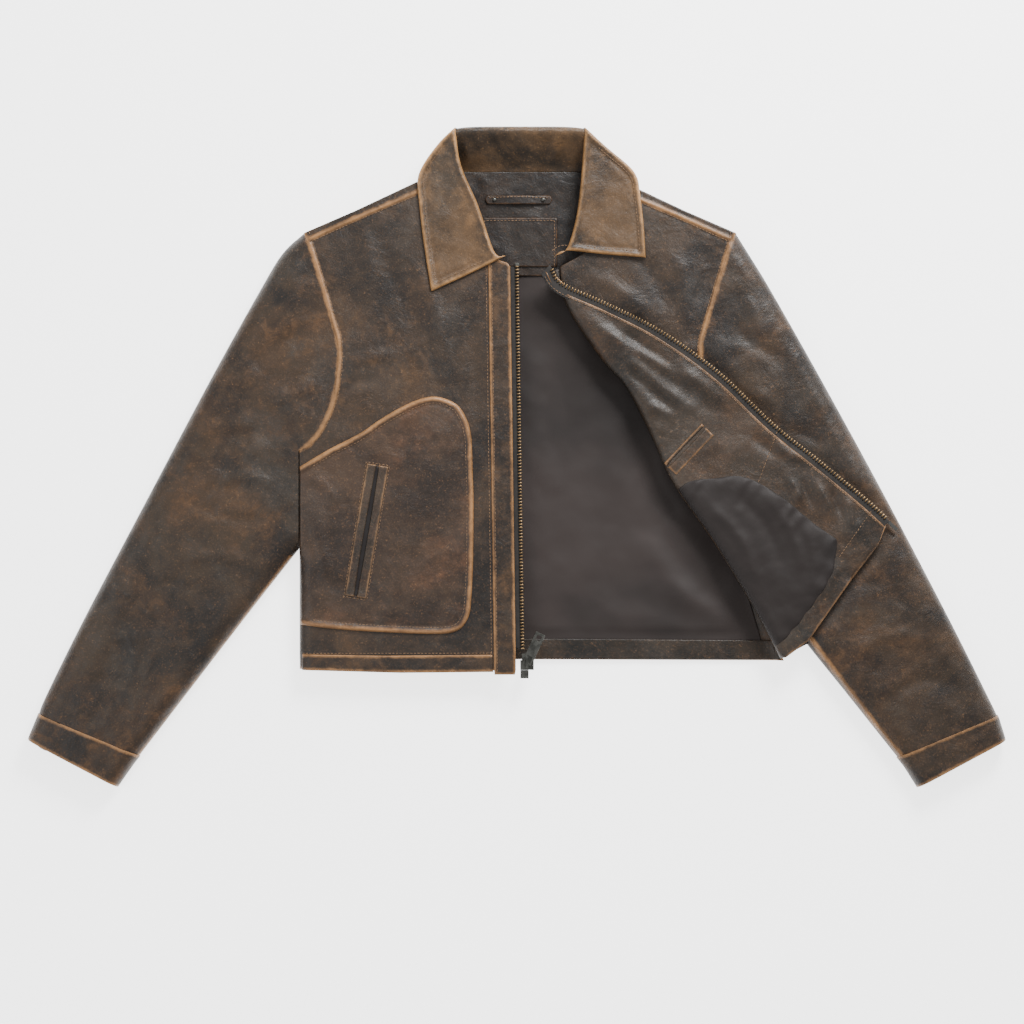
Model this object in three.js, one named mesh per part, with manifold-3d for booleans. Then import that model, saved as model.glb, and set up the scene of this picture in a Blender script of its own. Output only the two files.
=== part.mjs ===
// A cropped leather riding jacket with a zip front, lying on its back with the left front turned open.
// Millimetres, +Z up, +Y towards the collar, +X towards the wearer's left sleeve.
import * as THREE from 'three';
import { mergeVertices } from 'three/addons/utils/BufferGeometryUtils.js';
import Module from 'manifold-3d';

const wasm = await Module();
wasm.setup();

// ---- driving sizes -------------------------------------------------------------------------------
const GAP = 0.3; // clearance kept between pieces that lie against each other
const LEATHER = 1.6; // outer leather
const SATIN = 0.6; // lining cloth
const FRONT_GAUGE = 1.4; // leather of the pocket panel and the trims sewn on it
const BACK_HEM_Y = 12; // hem of the back
const FRONT_HEM_Y = 0; // hem of the right front
const HALF_CHEST = 243; // side seam of the flat body
const UNDERARM_Y = 247; // lower end of the armhole seam
const SLEEVE_CROTCH_Y = 136; // where the sleeve leaves the side of the body
const SHOULDER_HALF = 237.6; // shoulder tip
const SHOULDER_Y = 483;
const ARMHOLE_DEPTH = 37; // how far the armhole curves in from the shoulder tip
const NECK_POINT_X = 118; // where the collar covers the shoulder seam
const NECK_POINT_Y = 536;
const NECK_HALF = 64; // back neck seam
const NECK_Y = 552;
const COLLAR_TOP_Y = 597; // roll of the collar behind the neck
const COLLAR_HALF = 71;
const SHOULDER_WRAP = 10; // back leather that comes over the shoulder to the front
const BODY_RISE = 24.4; // underside of the front leather above the floor
const SLEEVE_RISE = 29.4; // crown of a sleeve
const SLEEVE_EDGE_Z = 13; // height of the seams at a sleeve's two edges
const FOLD_Z = 28.75; // axis of the turned-back front
const HEM_BAND = 19; // depth of the hem turn-up
const PLACKET = 24; // width of the strip beside the zip
const FACING = 62; // leather facing inside the front edge
const ZIP_TOP_Y = 444;
const ZIP_BOTTOM_Y = 24;
const ZIP_SLANT = -6; // the right chain's drift from bottom to top
const TOOTH_PITCH = 3.5;
const TOOTH_LENGTH = 3.4;
const TAPE = 14; // width of a zip tape
const CHAIN_X = 2.6; // root of the right teeth at the hem
const SLIDER_LENGTH = 18;
const SLIDER_WIDTH = 16;
const PULL_LENGTH = 30;
const PULL_WIDTH = 11;
const PULL_LEAN = 25; // degrees, towards the left front
const LEAF_GAUGE = 3.2; // two leathers and the interlining of a collar leaf
const CUFF_DEPTH = 26;
const POCKET_RIM = 5; // piped border of the pocket panel

// ---- levels --------------------------------------------------------------------------------------
const frontTop = BODY_RISE + LEATHER;
const tapeTop = BODY_RISE - GAP;
const tapeLow = tapeTop - SATIN;
const liningTop = tapeLow - GAP;
const liningLow = liningTop - SATIN;
const backLiningLow = LEATHER + GAP;
const backLiningTop = backLiningLow + SATIN;
const foldUp = (z) => 2 * FOLD_Z - z; // level of a layer once the left front is turned back

// ---- helpers -------------------------------------------------------------------------------------
const V2 = (x, y) => new THREE.Vector2(x, y);
const V3 = (x, y, z) => new THREE.Vector3(x, y, z);
const mix = (a, b, t) => a + (b - a) * t;
const points = (...xy) => xy.map(([x, y]) => V2(x, y));
const spline = (pts, steps) => new THREE.SplineCurve(pts).getPoints(steps);
const mirrorX = (pts) => pts.map((p) => V2(-p.x, p.y)).reverse();
const radians = THREE.MathUtils.degToRad;

function plate(outline, low, high, holes = []) {
  const shape = new THREE.Shape(outline);
  for (const hole of holes) shape.holes.push(new THREE.Path(hole));
  const geometry = new THREE.ExtrudeGeometry(shape, { depth: high - low, bevelEnabled: false });
  return geometry.translate(0, 0, low);
}

// A box of cells bent into a sheet: place(u, v, w) with w 0 on the lower face and 1 on the upper.
function sheet(nu, nv, place) {
  const geometry = new THREE.BoxGeometry(1, 1, 1, nu, nv, 1);
  const at = geometry.attributes.position;
  for (let i = 0; i < at.count; i++) {
    const p = place(at.getX(i) + 0.5, at.getY(i) + 0.5, at.getZ(i) + 0.5);
    at.setXYZ(i, p.x, p.y, p.z);
  }
  return geometry;
}

// A tube of cells: place(k, v, w) with k the corner's number round, v along and w 0 inside, 1 outside.
function tube(round, along, place) {
  const profile = [];
  for (let i = 0; i <= along; i++) profile.push(V2(2, i / along));
  for (let i = along; i >= 0; i--) profile.push(V2(1, i / along));
  profile.push(profile[0].clone());
  const geometry = new THREE.LatheGeometry(profile, round);
  const at = geometry.attributes.position;
  for (let i = 0; i < at.count; i++) {
    const turn = Math.atan2(at.getX(i), at.getZ(i)) / (2 * Math.PI);
    const k = ((Math.round(turn * round) % round) + round) % round;
    const p = place(k, at.getY(i), Math.round(Math.hypot(at.getX(i), at.getZ(i))) - 1);
    at.setXYZ(i, p.x, p.y, p.z);
  }
  return geometry;
}

function solid(geometry) {
  const bare = geometry.index ? geometry.clone() : mergeVertices(geometry.clone());
  bare.deleteAttribute('normal');
  bare.deleteAttribute('uv');
  const merged = mergeVertices(bare, 1e-4);
  return new wasm.Manifold(new wasm.Mesh({
    numProp: 3,
    vertProperties: new Float32Array(merged.attributes.position.array),
    triVerts: new Uint32Array(merged.index.array),
  }));
}

function shaped(manifold) {
  const mesh = manifold.getMesh();
  const geometry = new THREE.BufferGeometry();
  geometry.setAttribute('position', new THREE.BufferAttribute(new Float32Array(mesh.vertProperties), 3));
  geometry.setIndex(new THREE.BufferAttribute(new Uint32Array(mesh.triVerts), 1));
  return geometry;
}

const join = (...pieces) => shaped(pieces.map(solid).reduce((a, b) => a.add(b)));
const cut = (piece, ...tools) => shaped(tools.map(solid).reduce((a, b) => a.subtract(b), solid(piece)));
const common = (a, b) => shaped(solid(a).intersect(solid(b)));

function block(x0, x1, y0, y1, z0, z1) {
  return new THREE.BoxGeometry(x1 - x0, y1 - y0, z1 - z0)
    .translate((x0 + x1) / 2, (y0 + y1) / 2, (z0 + z1) / 2);
}

// ---- materials -----------------------------------------------------------------------------------
const finish = (color, roughness, metalness = 0) => ({ color, roughness, metalness });
const OUTER = finish(0x4b3a30, 0.6);
const COLLAR = finish(0x6e523c, 0.55);
const INNER = finish(0x3a2c25, 0.55);
const EDGE = finish(0x9a6f4a, 0.6);
const LINING = finish(0x3d3431, 0.4);
const TAPE_CLOTH = finish(0x2c2623, 0.9);
const BRASS = finish(0x8a6a3a, 0.4, 0.9);
const GUNMETAL = finish(0x4b4b48, 0.35, 0.95);

const jacket = new THREE.Group();
const ORIGIN_Y = 250; // the frame's origin is in the middle of the back
jacket.position.y = -ORIGIN_Y;
function add(name, geometry, look) {
  const mesh = new THREE.Mesh(geometry, new THREE.MeshStandardMaterial(look));
  mesh.name = name;
  jacket.add(mesh);
  return mesh;
}

// ---- shared lines of the pattern -----------------------------------------------------------------
// The armhole seam of the wearer's right, from the shoulder tip down to the underarm.
const armholeMiddle = (SHOULDER_Y + UNDERARM_Y) / 2;
const armhole = spline(points(
  [-SHOULDER_HALF, SHOULDER_Y],
  [-SHOULDER_HALF + 0.53 * ARMHOLE_DEPTH, mix(armholeMiddle, SHOULDER_Y, 0.45)],
  [-SHOULDER_HALF + 0.96 * ARMHOLE_DEPTH, armholeMiddle],
  [-SHOULDER_HALF + 0.86 * ARMHOLE_DEPTH, mix(armholeMiddle, UNDERARM_Y, 0.5)],
  [-SHOULDER_HALF + 0.36 * ARMHOLE_DEPTH, mix(armholeMiddle, UNDERARM_Y, 0.87)],
  [-HALF_CHEST, UNDERARM_Y],
), 14);
const armholeOfBody = armhole.map((p) => V2(p.x + GAP, p.y));

// The slanting line of the zip, and the seams that run beside it.
const chainX = (y) => CHAIN_X + (ZIP_SLANT * (y - ZIP_BOTTOM_Y)) / (ZIP_TOP_Y - ZIP_BOTTOM_Y);
const placketRight = (y) => chainX(y) - TOOTH_LENGTH - 4;
const placketLeft = (y) => placketRight(y) - PLACKET;
const shoulderShare = (x) => (Math.abs(x) - SHOULDER_HALF) / (NECK_POINT_X - SHOULDER_HALF);
const shoulderLine = (x) => mix(SHOULDER_Y, NECK_POINT_Y, shoulderShare(x));

// The front neckline runs under the collar leaf.
const FRONT_NECK = points([-NECK_POINT_X + 34, NECK_POINT_Y - 6], [-40, 490], [-18, 459]);

// ---- back ----------------------------------------------------------------------------------------
const LEFT_SPREAD = 38; // the open left side lies further out at the hem
function backOutline(inset) {
  const right = armhole.map((p) => V2(p.x + inset, p.y)).slice(1).reverse();
  const left = mirrorX(right);
  return [
    V2(-HALF_CHEST + inset, BACK_HEM_Y + inset),
    ...right,
    V2(-SHOULDER_HALF + inset, SHOULDER_Y - inset / 2),
    V2(-NECK_POINT_X, NECK_POINT_Y - inset),
    V2(-NECK_HALF, NECK_Y - inset),
    V2(NECK_HALF, NECK_Y - inset),
    V2(NECK_POINT_X, NECK_POINT_Y - inset),
    V2(SHOULDER_HALF - inset, SHOULDER_Y - inset / 2),
    ...left,
    V2(HALF_CHEST - inset, SLEEVE_CROTCH_Y),
    V2(HALF_CHEST + LEFT_SPREAD - inset, BACK_HEM_Y + inset),
  ].reverse();
}

function sideWall(x0, y0, x1, y1, top) {
  const inwards = x0 < 0 ? LEATHER : -LEATHER;
  return plate(points([x0, y0], [x1, y1], [x1 + inwards, y1], [x0 + inwards, y0]), 0, top);
}

const shoulderWrap = (side) => plate(points(
  [side * SHOULDER_HALF, SHOULDER_Y],
  [side * NECK_POINT_X, NECK_POINT_Y],
  [side * NECK_POINT_X, NECK_POINT_Y - SHOULDER_WRAP],
  [side * (SHOULDER_HALF - 4), SHOULDER_Y - 0.6 * SHOULDER_WRAP],
), BODY_RISE, frontTop);
const shoulderWall = (side) => plate(points(
  [side * SHOULDER_HALF, SHOULDER_Y],
  [side * NECK_POINT_X, NECK_POINT_Y],
  [side * NECK_POINT_X, NECK_POINT_Y - LEATHER],
  [side * (SHOULDER_HALF - LEATHER), SHOULDER_Y - LEATHER],
), 0, frontTop);
add('back_panel', join(
  plate(backOutline(0), 0, LEATHER),
  sideWall(-HALF_CHEST, BACK_HEM_Y, -HALF_CHEST, UNDERARM_Y, BODY_RISE - GAP),
  sideWall(HALF_CHEST, SLEEVE_CROTCH_Y, HALF_CHEST, UNDERARM_Y, BODY_RISE - GAP),
  sideWall(HALF_CHEST + LEFT_SPREAD, BACK_HEM_Y, HALF_CHEST, SLEEVE_CROTCH_Y, BODY_RISE - GAP),
  shoulderWall(-1), shoulderWall(1), shoulderWrap(-1), shoulderWrap(1),
), OUTER);

const inside = LEATHER + 1.2; // linings keep this far inside the outer edge
const hemFacingTop = BACK_HEM_Y + inside + HEM_BAND;
const NECK_FACING_LOW = 435; // lower edge of the leather neck facing
const liningArea = solid(plate(backOutline(inside), backLiningLow, backLiningTop));
const belowFacing = block(-400, 400, hemFacingTop + GAP, NECK_FACING_LOW - GAP, 0, 10);
add('back_lining', shaped(liningArea.intersect(solid(belowFacing))), LINING);
add('back_hem_facing', common(
  plate(backOutline(inside), backLiningLow, backLiningLow + 0.9),
  block(-400, 400, 0, hemFacingTop, 0, 10),
), INNER);
add('back_neck_facing', common(
  plate(backOutline(inside), backLiningLow, backLiningLow + 0.9),
  block(-NECK_HALF - 26, NECK_HALF + 26, NECK_FACING_LOW, 600, 0, 10),
), INNER);
const facingTop = backLiningLow + 0.9 + GAP;
const labelOutline = points([-42, 446], [41, 446], [41, 501], [-42, 501]);
add('label_patch', plate(labelOutline, facingTop, facingTop + 1), INNER);

// Hanger loop: a flat strap on two studs, raised over its middle for a hook.
const HANGER_Y = 521;
const HANGER_X0 = -38;
const HANGER_X1 = 35;
const HANGER_WIDTH = 11;
const HANGER_LIFT = 3.4;
const strap = sheet(8, 1, (u, v, w) => V3(
  mix(HANGER_X0, HANGER_X1, u),
  HANGER_Y + (v - 0.5) * HANGER_WIDTH,
  facingTop + HANGER_LIFT * Math.sin(Math.PI * Math.min(1, Math.max(0, (u - 0.22) / 0.56))) + 1.4 * w,
));
const STUD_INSET = 9.5;
const studHole = (x) => new THREE.CylinderGeometry(1.8 + GAP, 1.8 + GAP, 10, 12)
  .rotateX(Math.PI / 2).translate(x, HANGER_Y, facingTop);
add('hanger_loop', cut(strap, studHole(HANGER_X0 + STUD_INSET), studHole(HANGER_X1 - STUD_INSET)), OUTER);
for (const [side, x] of [['right', HANGER_X0 + STUD_INSET], ['left', HANGER_X1 - STUD_INSET]]) {
  const seat = facingTop;
  const cap = seat + 1.4 + GAP;
  const stud = new THREE.LatheGeometry(
    points([0, seat], [1.8, seat], [1.8, cap], [3.6, cap], [3.3, cap + 1.1], [0, cap + 1.6]), 12);
  add(`hanger_stud_${side}`, stud.rotateX(Math.PI / 2).translate(x, HANGER_Y, 0), BRASS);
}

// ---- right front ---------------------------------------------------------------------------------
// The pocket panel fills the lower front; its rounded upper corner rises towards the zip.
const POCKET_SIDE_Y = 226; // top of the panel at the side seam
const POCKET_PEAK = V2(-94, 303); // highest point of its rounded corner
const POCKET_INNER_X = -53; // its edge beside the placket
const POCKET_LOW_Y = 44;
function pocketOutline(inset) {
  const side = -HALF_CHEST + 1 + inset;
  const upper = spline(points(
    [side, POCKET_SIDE_Y - inset * 1.3],
    [-177, 262 - inset],
    [-133, 290 - inset],
    [POCKET_PEAK.x, POCKET_PEAK.y - inset],
    [-66, 291 - inset],
    [POCKET_INNER_X - inset, 256],
  ), 14);
  const lower = spline(points(
    [POCKET_INNER_X - inset, 88],
    [-55 - inset, 66 + inset],
    [-68, 46 + inset],
    [-86 + inset, POCKET_LOW_Y - 2 + inset],
  ), 6);
  const foot = points([-133, POCKET_LOW_Y - 1 + inset], [side, POCKET_LOW_Y + 8 + inset]);
  return [...upper, ...lower, ...foot].reverse();
}

function frontPanelOutline() {
  const top = shoulderLine(-SHOULDER_HALF + 4) - SHOULDER_WRAP;
  return [
    V2(placketLeft(FRONT_HEM_Y + HEM_BAND) - GAP, FRONT_HEM_Y + HEM_BAND + GAP),
    V2(placketLeft(455) - GAP, 455),
    V2(FRONT_NECK[1].x, FRONT_NECK[1].y),
    V2(FRONT_NECK[0].x, FRONT_NECK[0].y - SHOULDER_WRAP),
    V2(-NECK_POINT_X, NECK_POINT_Y - SHOULDER_WRAP - GAP),
    V2(-SHOULDER_HALF + 8, top - GAP),
    ...armholeOfBody.slice(2),
    V2(-HALF_CHEST, FRONT_HEM_Y + HEM_BAND + GAP),
  ];
}
// The welt pocket: a narrow slit with two lips, leaning towards the side seam.
const WELT = { x: -169, y: 155, half: 72, lean: -9.6 };
const weltBox = (half, reach, low, high) => block(-half, half, -reach, reach, low, high)
  .rotateZ(radians(WELT.lean)).translate(WELT.x, WELT.y, 0);
const slitHalf = 1.5;
const SLIT_CLEAR = 1; // the leather is cut back this far behind the lips
const THROUGH = 60; // height of a cutter that passes through every layer
const LIP = 9; // width of a welt lip
const LIP_GAUGE = 1;
const LIP_END = 4; // the outer lip reaches past the slit's ends
const RIM_GAUGE = 1.2; // piping round the pocket panel
add('right_front_panel', cut(
  plate(frontPanelOutline(), BODY_RISE, frontTop),
  weltBox(slitHalf + SLIT_CLEAR, WELT.half, 0, THROUGH),
), OUTER);
const panelLow = frontTop + GAP;
const panelTop = panelLow + FRONT_GAUGE;
const lipLow = panelTop + GAP;
const lipTop = lipLow + LIP_GAUGE;
add('right_pocket_panel', cut(
  plate(pocketOutline(0), panelLow, panelTop),
  weltBox(slitHalf + SLIT_CLEAR, WELT.half, 0, THROUGH),
), OUTER);
add('right_pocket_rim', plate(
  pocketOutline(0), lipLow, lipLow + RIM_GAUGE, [pocketOutline(POCKET_RIM)],
), EDGE);
for (const [name, x0, x1, reach] of [
  ['outer', -slitHalf - LIP, -slitHalf, WELT.half + LIP_END],
  ['inner', slitHalf, slitHalf + LIP, WELT.half],
]) {
  add(`right_welt_lip_${name}`, block(x0, x1, -reach, reach, lipLow, lipTop)
    .rotateZ(radians(WELT.lean)).translate(WELT.x, WELT.y, 0), OUTER);
}
const BAG_WIDTH = 92;
const BAG_SHIFT = 30; // the bag hangs towards the centre front
const bagReach = WELT.half + 12;
add('right_pocket_bag', block(-BAG_WIDTH / 2, BAG_WIDTH / 2, -bagReach, bagReach, tapeLow, tapeTop)
  .rotateZ(radians(WELT.lean)).translate(WELT.x + BAG_SHIFT, WELT.y, 0), LINING);

const hemBandOutline = points(
  [-HALF_CHEST, FRONT_HEM_Y], [placketLeft(FRONT_HEM_Y) - GAP, FRONT_HEM_Y],
  [placketLeft(FRONT_HEM_Y + HEM_BAND) - GAP, FRONT_HEM_Y + HEM_BAND],
  [-HALF_CHEST, FRONT_HEM_Y + HEM_BAND]);
add('right_hem_band', plate(hemBandOutline, BODY_RISE, frontTop + 0.4), OUTER);
const PLACKET_TOP_Y = 455;
const PLACKET_LOW_Y = -4;
add('right_placket', plate(points(
  [placketLeft(PLACKET_LOW_Y), PLACKET_LOW_Y], [placketRight(PLACKET_LOW_Y), PLACKET_LOW_Y],
  [placketRight(PLACKET_TOP_Y), PLACKET_TOP_Y], [placketLeft(PLACKET_TOP_Y), PLACKET_TOP_Y],
), BODY_RISE, frontTop + 0.4), OUTER);
add('right_zip_tape', plate(points(
  [chainX(0) - TAPE, 0], [chainX(0), 0], [chainX(450), 450], [chainX(450) - TAPE, 450],
), tapeLow, tapeTop), TAPE_CLOTH);
const facingX = (y) => placketRight(y) - FACING;
add('right_front_facing', plate(points(
  [facingX(2), 2], [placketRight(2) - 1, 2], [placketRight(450) - 1, 450], [facingX(450), 450],
), liningLow, liningTop - 0.05), INNER);
add('right_front_lining', plate([
  V2(facingX(4) - GAP, 4), V2(facingX(450) - GAP, 450), V2(facingX(450) - GAP, 500),
  V2(-NECK_POINT_X, 515), V2(-SHOULDER_HALF + 10, shoulderLine(SHOULDER_HALF) - 16),
  ...armholeOfBody.slice(2).map((p) => V2(p.x + inside, p.y)), V2(-HALF_CHEST + inside, 4),
], liningLow, liningTop - 0.05), LINING);

// ---- zip -----------------------------------------------------------------------------------------
const chainLow = tapeTop - 0.4;
const chainTop = chainLow + 2.6;
const ROOT = 2.2;
// A row of teeth along +Y from the origin, pointing to +X.
function teethRow(length) {
  const count = Math.floor(length / TOOTH_PITCH);
  const comb = [V2(-ROOT, 0), V2(0, 0)];
  for (let i = 0; i < count; i++) {
    const y = (i + 0.25) * TOOTH_PITCH;
    comb.push(V2(0, y), V2(TOOTH_LENGTH, y + 0.2), V2(TOOTH_LENGTH, y + 0.42 * TOOTH_PITCH));
    comb.push(V2(0, y + 0.5 * TOOTH_PITCH));
  }
  comb.push(V2(0, length), V2(-ROOT, length));
  return comb;
}
const zipLean = Math.atan2(-ZIP_SLANT, ZIP_TOP_Y - ZIP_BOTTOM_Y);
const teethLow = tapeTop + GAP;
const rightTeeth = plate(teethRow(ZIP_TOP_Y - ZIP_BOTTOM_Y), teethLow, chainTop + 0.4);
add('right_zip_teeth', rightTeeth.rotateZ(zipLean).translate(chainX(ZIP_BOTTOM_Y), ZIP_BOTTOM_Y, 0), BRASS);
const stopY = ZIP_TOP_Y + 1;
add('zip_top_stop', block(chainX(stopY) - ROOT, chainX(stopY) + TOOTH_LENGTH, stopY, stopY + 4,
  teethLow, chainTop + 0.4), GUNMETAL);
add('zip_retainer_box', block(chainX(0) - 5, chainX(0) + 5.5, -7, 1.4, teethLow, chainTop + 2), GUNMETAL);

// The slider: two plates on a neck that parts the two rows of teeth.
const sliderX = chainX(11) + TOOTH_LENGTH + 1.5;
const SLIDER_Y = 2.2;
const sliderMid = SLIDER_Y + SLIDER_LENGTH / 2;
const sliderPlate = (low, high) => plate(points(
  [-0.32 * SLIDER_WIDTH, 0], [0.32 * SLIDER_WIDTH, 0], [0.42 * SLIDER_WIDTH, 0.35 * SLIDER_LENGTH],
  [0.5 * SLIDER_WIDTH, 0.8 * SLIDER_LENGTH], [0.3 * SLIDER_WIDTH, SLIDER_LENGTH],
  [-0.3 * SLIDER_WIDTH, SLIDER_LENGTH], [-0.5 * SLIDER_WIDTH, 0.8 * SLIDER_LENGTH],
  [-0.42 * SLIDER_WIDTH, 0.35 * SLIDER_LENGTH],
), low, high).translate(sliderX, SLIDER_Y, 0);
const sliderLow = tapeLow - GAP - 1.4;
const sliderCeiling = chainTop + 0.4 + GAP;
const sliderTop = sliderCeiling + 1.6;
const BRIDGE_CLEAR = 3.4;
const bridgeTop = sliderTop + BRIDGE_CLEAR + 1.4;
const BRIDGE_HALF = 1.2;
const bridgeBlock = (y0, y1, low, high) => block(sliderX - BRIDGE_HALF, sliderX + BRIDGE_HALF, y0, y1, low, high);
const post = (y) => bridgeBlock(y - 1.2, y + 1.2, sliderTop - 0.5, bridgeTop - 0.5);
const bridgeY0 = sliderMid - 5;
const bridgeY1 = sliderMid + 3.2;
add('slider_body', join(
  sliderPlate(sliderLow, tapeLow - GAP),
  sliderPlate(sliderCeiling, sliderTop),
  block(
    sliderX + 0.4, sliderX + 3.2, SLIDER_Y + 9, SLIDER_Y + SLIDER_LENGTH - 1, sliderLow + 0.5, sliderTop - 0.5,
  ),
  post(bridgeY0), post(bridgeY1),
  bridgeBlock(bridgeY0 - 1.2, bridgeY1 + 1.2, bridgeTop - 1.4, bridgeTop),
), GUNMETAL);
// The pull: a plate whose eye hangs in the bridge.
const pullZ = sliderTop + 0.9;
const PULL_GAUGE = 1.6;
const EYE_END = 8.2;
const pull = cut(
  plate(points(
    [-0.5 * PULL_WIDTH, -1.4], [0.5 * PULL_WIDTH, -1.4], [0.5 * PULL_WIDTH, 0.55 * PULL_LENGTH],
    [0.42 * PULL_WIDTH, PULL_LENGTH], [-0.42 * PULL_WIDTH, PULL_LENGTH],
    [-0.5 * PULL_WIDTH, 0.55 * PULL_LENGTH],
  ), pullZ, pullZ + PULL_GAUGE),
  block(-0.36 * PULL_WIDTH, 0.36 * PULL_WIDTH, 0.4, EYE_END, 0, 60),
  block(-0.28 * PULL_WIDTH, 0.28 * PULL_WIDTH, 0.72 * PULL_LENGTH, 0.88 * PULL_LENGTH, 0, 60),
);
add('pull_tab', pull.rotateZ(radians(-PULL_LEAN)).translate(sliderX, sliderMid - 1.2, 0), GUNMETAL);

// ---- left front: the part that stays down --------------------------------------------------------
// The fold runs from the neck to the hem of the side; the front beyond it is turned back over it.
const FOLD_HEM = V2(286, 15);
const foldLine = spline(points(
  [36, 441], [56, 393], [91, 342], [117, 312], [145, 258], [168, 208],
  [216, 138], [258, 68], [FOLD_HEM.x, FOLD_HEM.y]), 16);
const leftSide = (y) => HALF_CHEST + (LEFT_SPREAD * (SLEEVE_CROTCH_Y - y)) / (SLEEVE_CROTCH_Y - BACK_HEM_Y);
const hemAt = V2(leftSide(BACK_HEM_Y + 32) - GAP, BACK_HEM_Y + 32);
const base = [
  ...foldLine.slice(0, -2),
  hemAt,
  V2(HALF_CHEST - GAP, SLEEVE_CROTCH_Y),
  ...mirrorX(armholeOfBody.slice(2)),
  V2(SHOULDER_HALF - 8, shoulderLine(SHOULDER_HALF) - 9 - GAP),
  V2(NECK_POINT_X, NECK_POINT_Y - SHOULDER_WRAP - GAP),
  V2(-FRONT_NECK[0].x, FRONT_NECK[0].y - SHOULDER_WRAP),
  V2(62, 490), V2(44, 456),
];
add('left_front_yoke', plate(base, BODY_RISE, frontTop), OUTER);
add('left_yoke_lining', common(
  plate(base, tapeLow, tapeTop),
  plate(backOutline(inside + 3), 0, 80),
), LINING);

// ---- left front: the part that is turned back ----------------------------------------------------
const teethLine = spline(points(
  [34, 448], [47, 428], [95, 406], [156, 375], [219, 330], [279, 273], [334, 229], [381, 190], [406, 167],
), 24);
const FLAP_HEM = points([395, 142], [364, 102], [317, 35], [290, 15]);
// A line moved in from the edge; near the neck the front is too narrow for its full distance.
const EDGE_TAPER = 8;
const narrowed = (i) => Math.min(1, Math.max(0, i - 2) / EDGE_TAPER);
const offset = (line, distanceAt) => line.map((p, i) => {
  const a = line[Math.max(0, i - 1)];
  const b = line[Math.min(line.length - 1, i + 1)];
  const along = V2(b.x - a.x, b.y - a.y).normalize();
  return V2(p.x + along.y * distanceAt(i), p.y - along.x * distanceAt(i));
});
const inset = (line, distance) => offset(line, (i) => distance * narrowed(i));
const flapEdge = inset(teethLine, TOOTH_LENGTH + 4);
const flapOutline = [...flapEdge, ...FLAP_HEM, ...[...foldLine].reverse().slice(1)].reverse();
const flapOuterLow = foldUp(frontTop);
const flapOuterTop = foldUp(BODY_RISE);
const flapInnerLow = foldUp(liningTop);
const flapInnerTop = flapInnerLow + SATIN;
const flapCut = (low, high) => plate(flapOutline, low, high);

// Regions of the inside of the flap: facing leather above, satin patch below, leather along the hem.
const patchTop = spline(points(
  [165, 205], [196, 212], [216, 213], [237, 216], [259, 210], [292, 189], [321, 165], [349, 148]), 14);
const hemStripEdge = points([349, 148], [342, 107], [296, 42], [281, 29]);
const patch = [...patchTop, ...hemStripEdge.slice(1), V2(262, 20), V2(230, 60), V2(150, 190)];
const patchTool = plate([...patch].reverse(), 0, 80);
const hemStrip = [...hemStripEdge, V2(262, 20), V2(250, -40), V2(470, 90), V2(420, 170), V2(385, 156)];
const hemStripTool = plate([...hemStrip].reverse(), 0, 80);
const grown = (outline, low, high, by) => {
  const centre = outline.reduce((s, p) => s.add(p), V2(0, 0)).divideScalar(outline.length);
  const grown = outline.map((p) => V2(centre.x + (p.x - centre.x) * by, centre.y + (p.y - centre.y) * by));
  return plate(grown, low, high);
};
const WELT_IN = { x: 183, y: 247, half: 28, lean: -43.6 };
const innerWeltBox = (x0, x1, reach, low, high) => block(x0, x1, -reach, reach, low, high)
  .rotateZ(radians(WELT_IN.lean)).translate(WELT_IN.x, WELT_IN.y, 0);
const chainSpace = plate([
  ...offset(teethLine, () => -2), ...offset(teethLine, () => TOOTH_LENGTH + ROOT + GAP).reverse()], 0, 80);
add('left_front_panel', cut(flapCut(flapOuterLow, flapOuterTop), chainSpace), OUTER);
add('left_front_facing', cut(flapCut(flapInnerLow, flapInnerTop + 0.3), patchTool, hemStripTool,
  innerWeltBox(-1.6, 1.6, WELT_IN.half, 0, 80)), INNER);
add('left_front_lining', cut(
  common(flapCut(flapInnerLow, flapInnerTop), grown([...patch].reverse(), 0, 80, 0.985)),
  hemStripTool), LINING);
add('left_hem_facing', cut(
  common(flapCut(flapInnerLow, flapInnerTop + 0.3), grown([...hemStrip].reverse(), 0, 80, 0.985)),
  grown([...patch].reverse(), 0, 80, 1.0)), INNER);
const innerLipLow = flapInnerTop + 0.3 + GAP;
for (const [name, x0] of [['upper', -1.6 - 6.5], ['lower', 1.6]]) {
  const lip = innerWeltBox(x0, x0 + 6.5, WELT_IN.half + 3, innerLipLow, innerLipLow + LIP_GAUGE);
  add(`inner_welt_lip_${name}`, lip, INNER);
}
add('left_pocket_bag', innerWeltBox(-34, 30, WELT_IN.half + 8, foldUp(tapeTop), foldUp(tapeLow)), LINING);

const MIN_TAPE = 2.5;
const rootLine = offset(teethLine, () => TOOTH_LENGTH);
const tapeBack = offset(teethLine, (i) => TOOTH_LENGTH + MIN_TAPE + (TAPE - MIN_TAPE) * narrowed(i));
const tapeOutline = [...rootLine, ...tapeBack.reverse()].reverse();
const leftTapeLow = foldUp(tapeTop);
const leftTapeTop = foldUp(tapeLow);
add('left_zip_tape', cut(plate(tapeOutline, leftTapeLow, leftTapeTop),
  innerWeltBox(-34 - GAP, 30 + GAP, WELT_IN.half + 8 + GAP, 0, 80)), TAPE_CLOTH);
const curve = new THREE.SplineCurve(rootLine);
const leftTeethCount = Math.floor(curve.getLength() / TOOTH_PITCH);
const leftComb = [];
for (let i = 0; i < leftTeethCount; i++) {
  for (const [part, reach] of [[0.1, 0], [0.2, TOOTH_LENGTH], [0.5, TOOTH_LENGTH], [0.6, 0]]) {
    const t = (i + part) / leftTeethCount;
    const p = curve.getPointAt(t);
    const d = curve.getTangentAt(t);
    leftComb.push(V2(p.x - d.y * reach, p.y + d.x * reach));
  }
}
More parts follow.
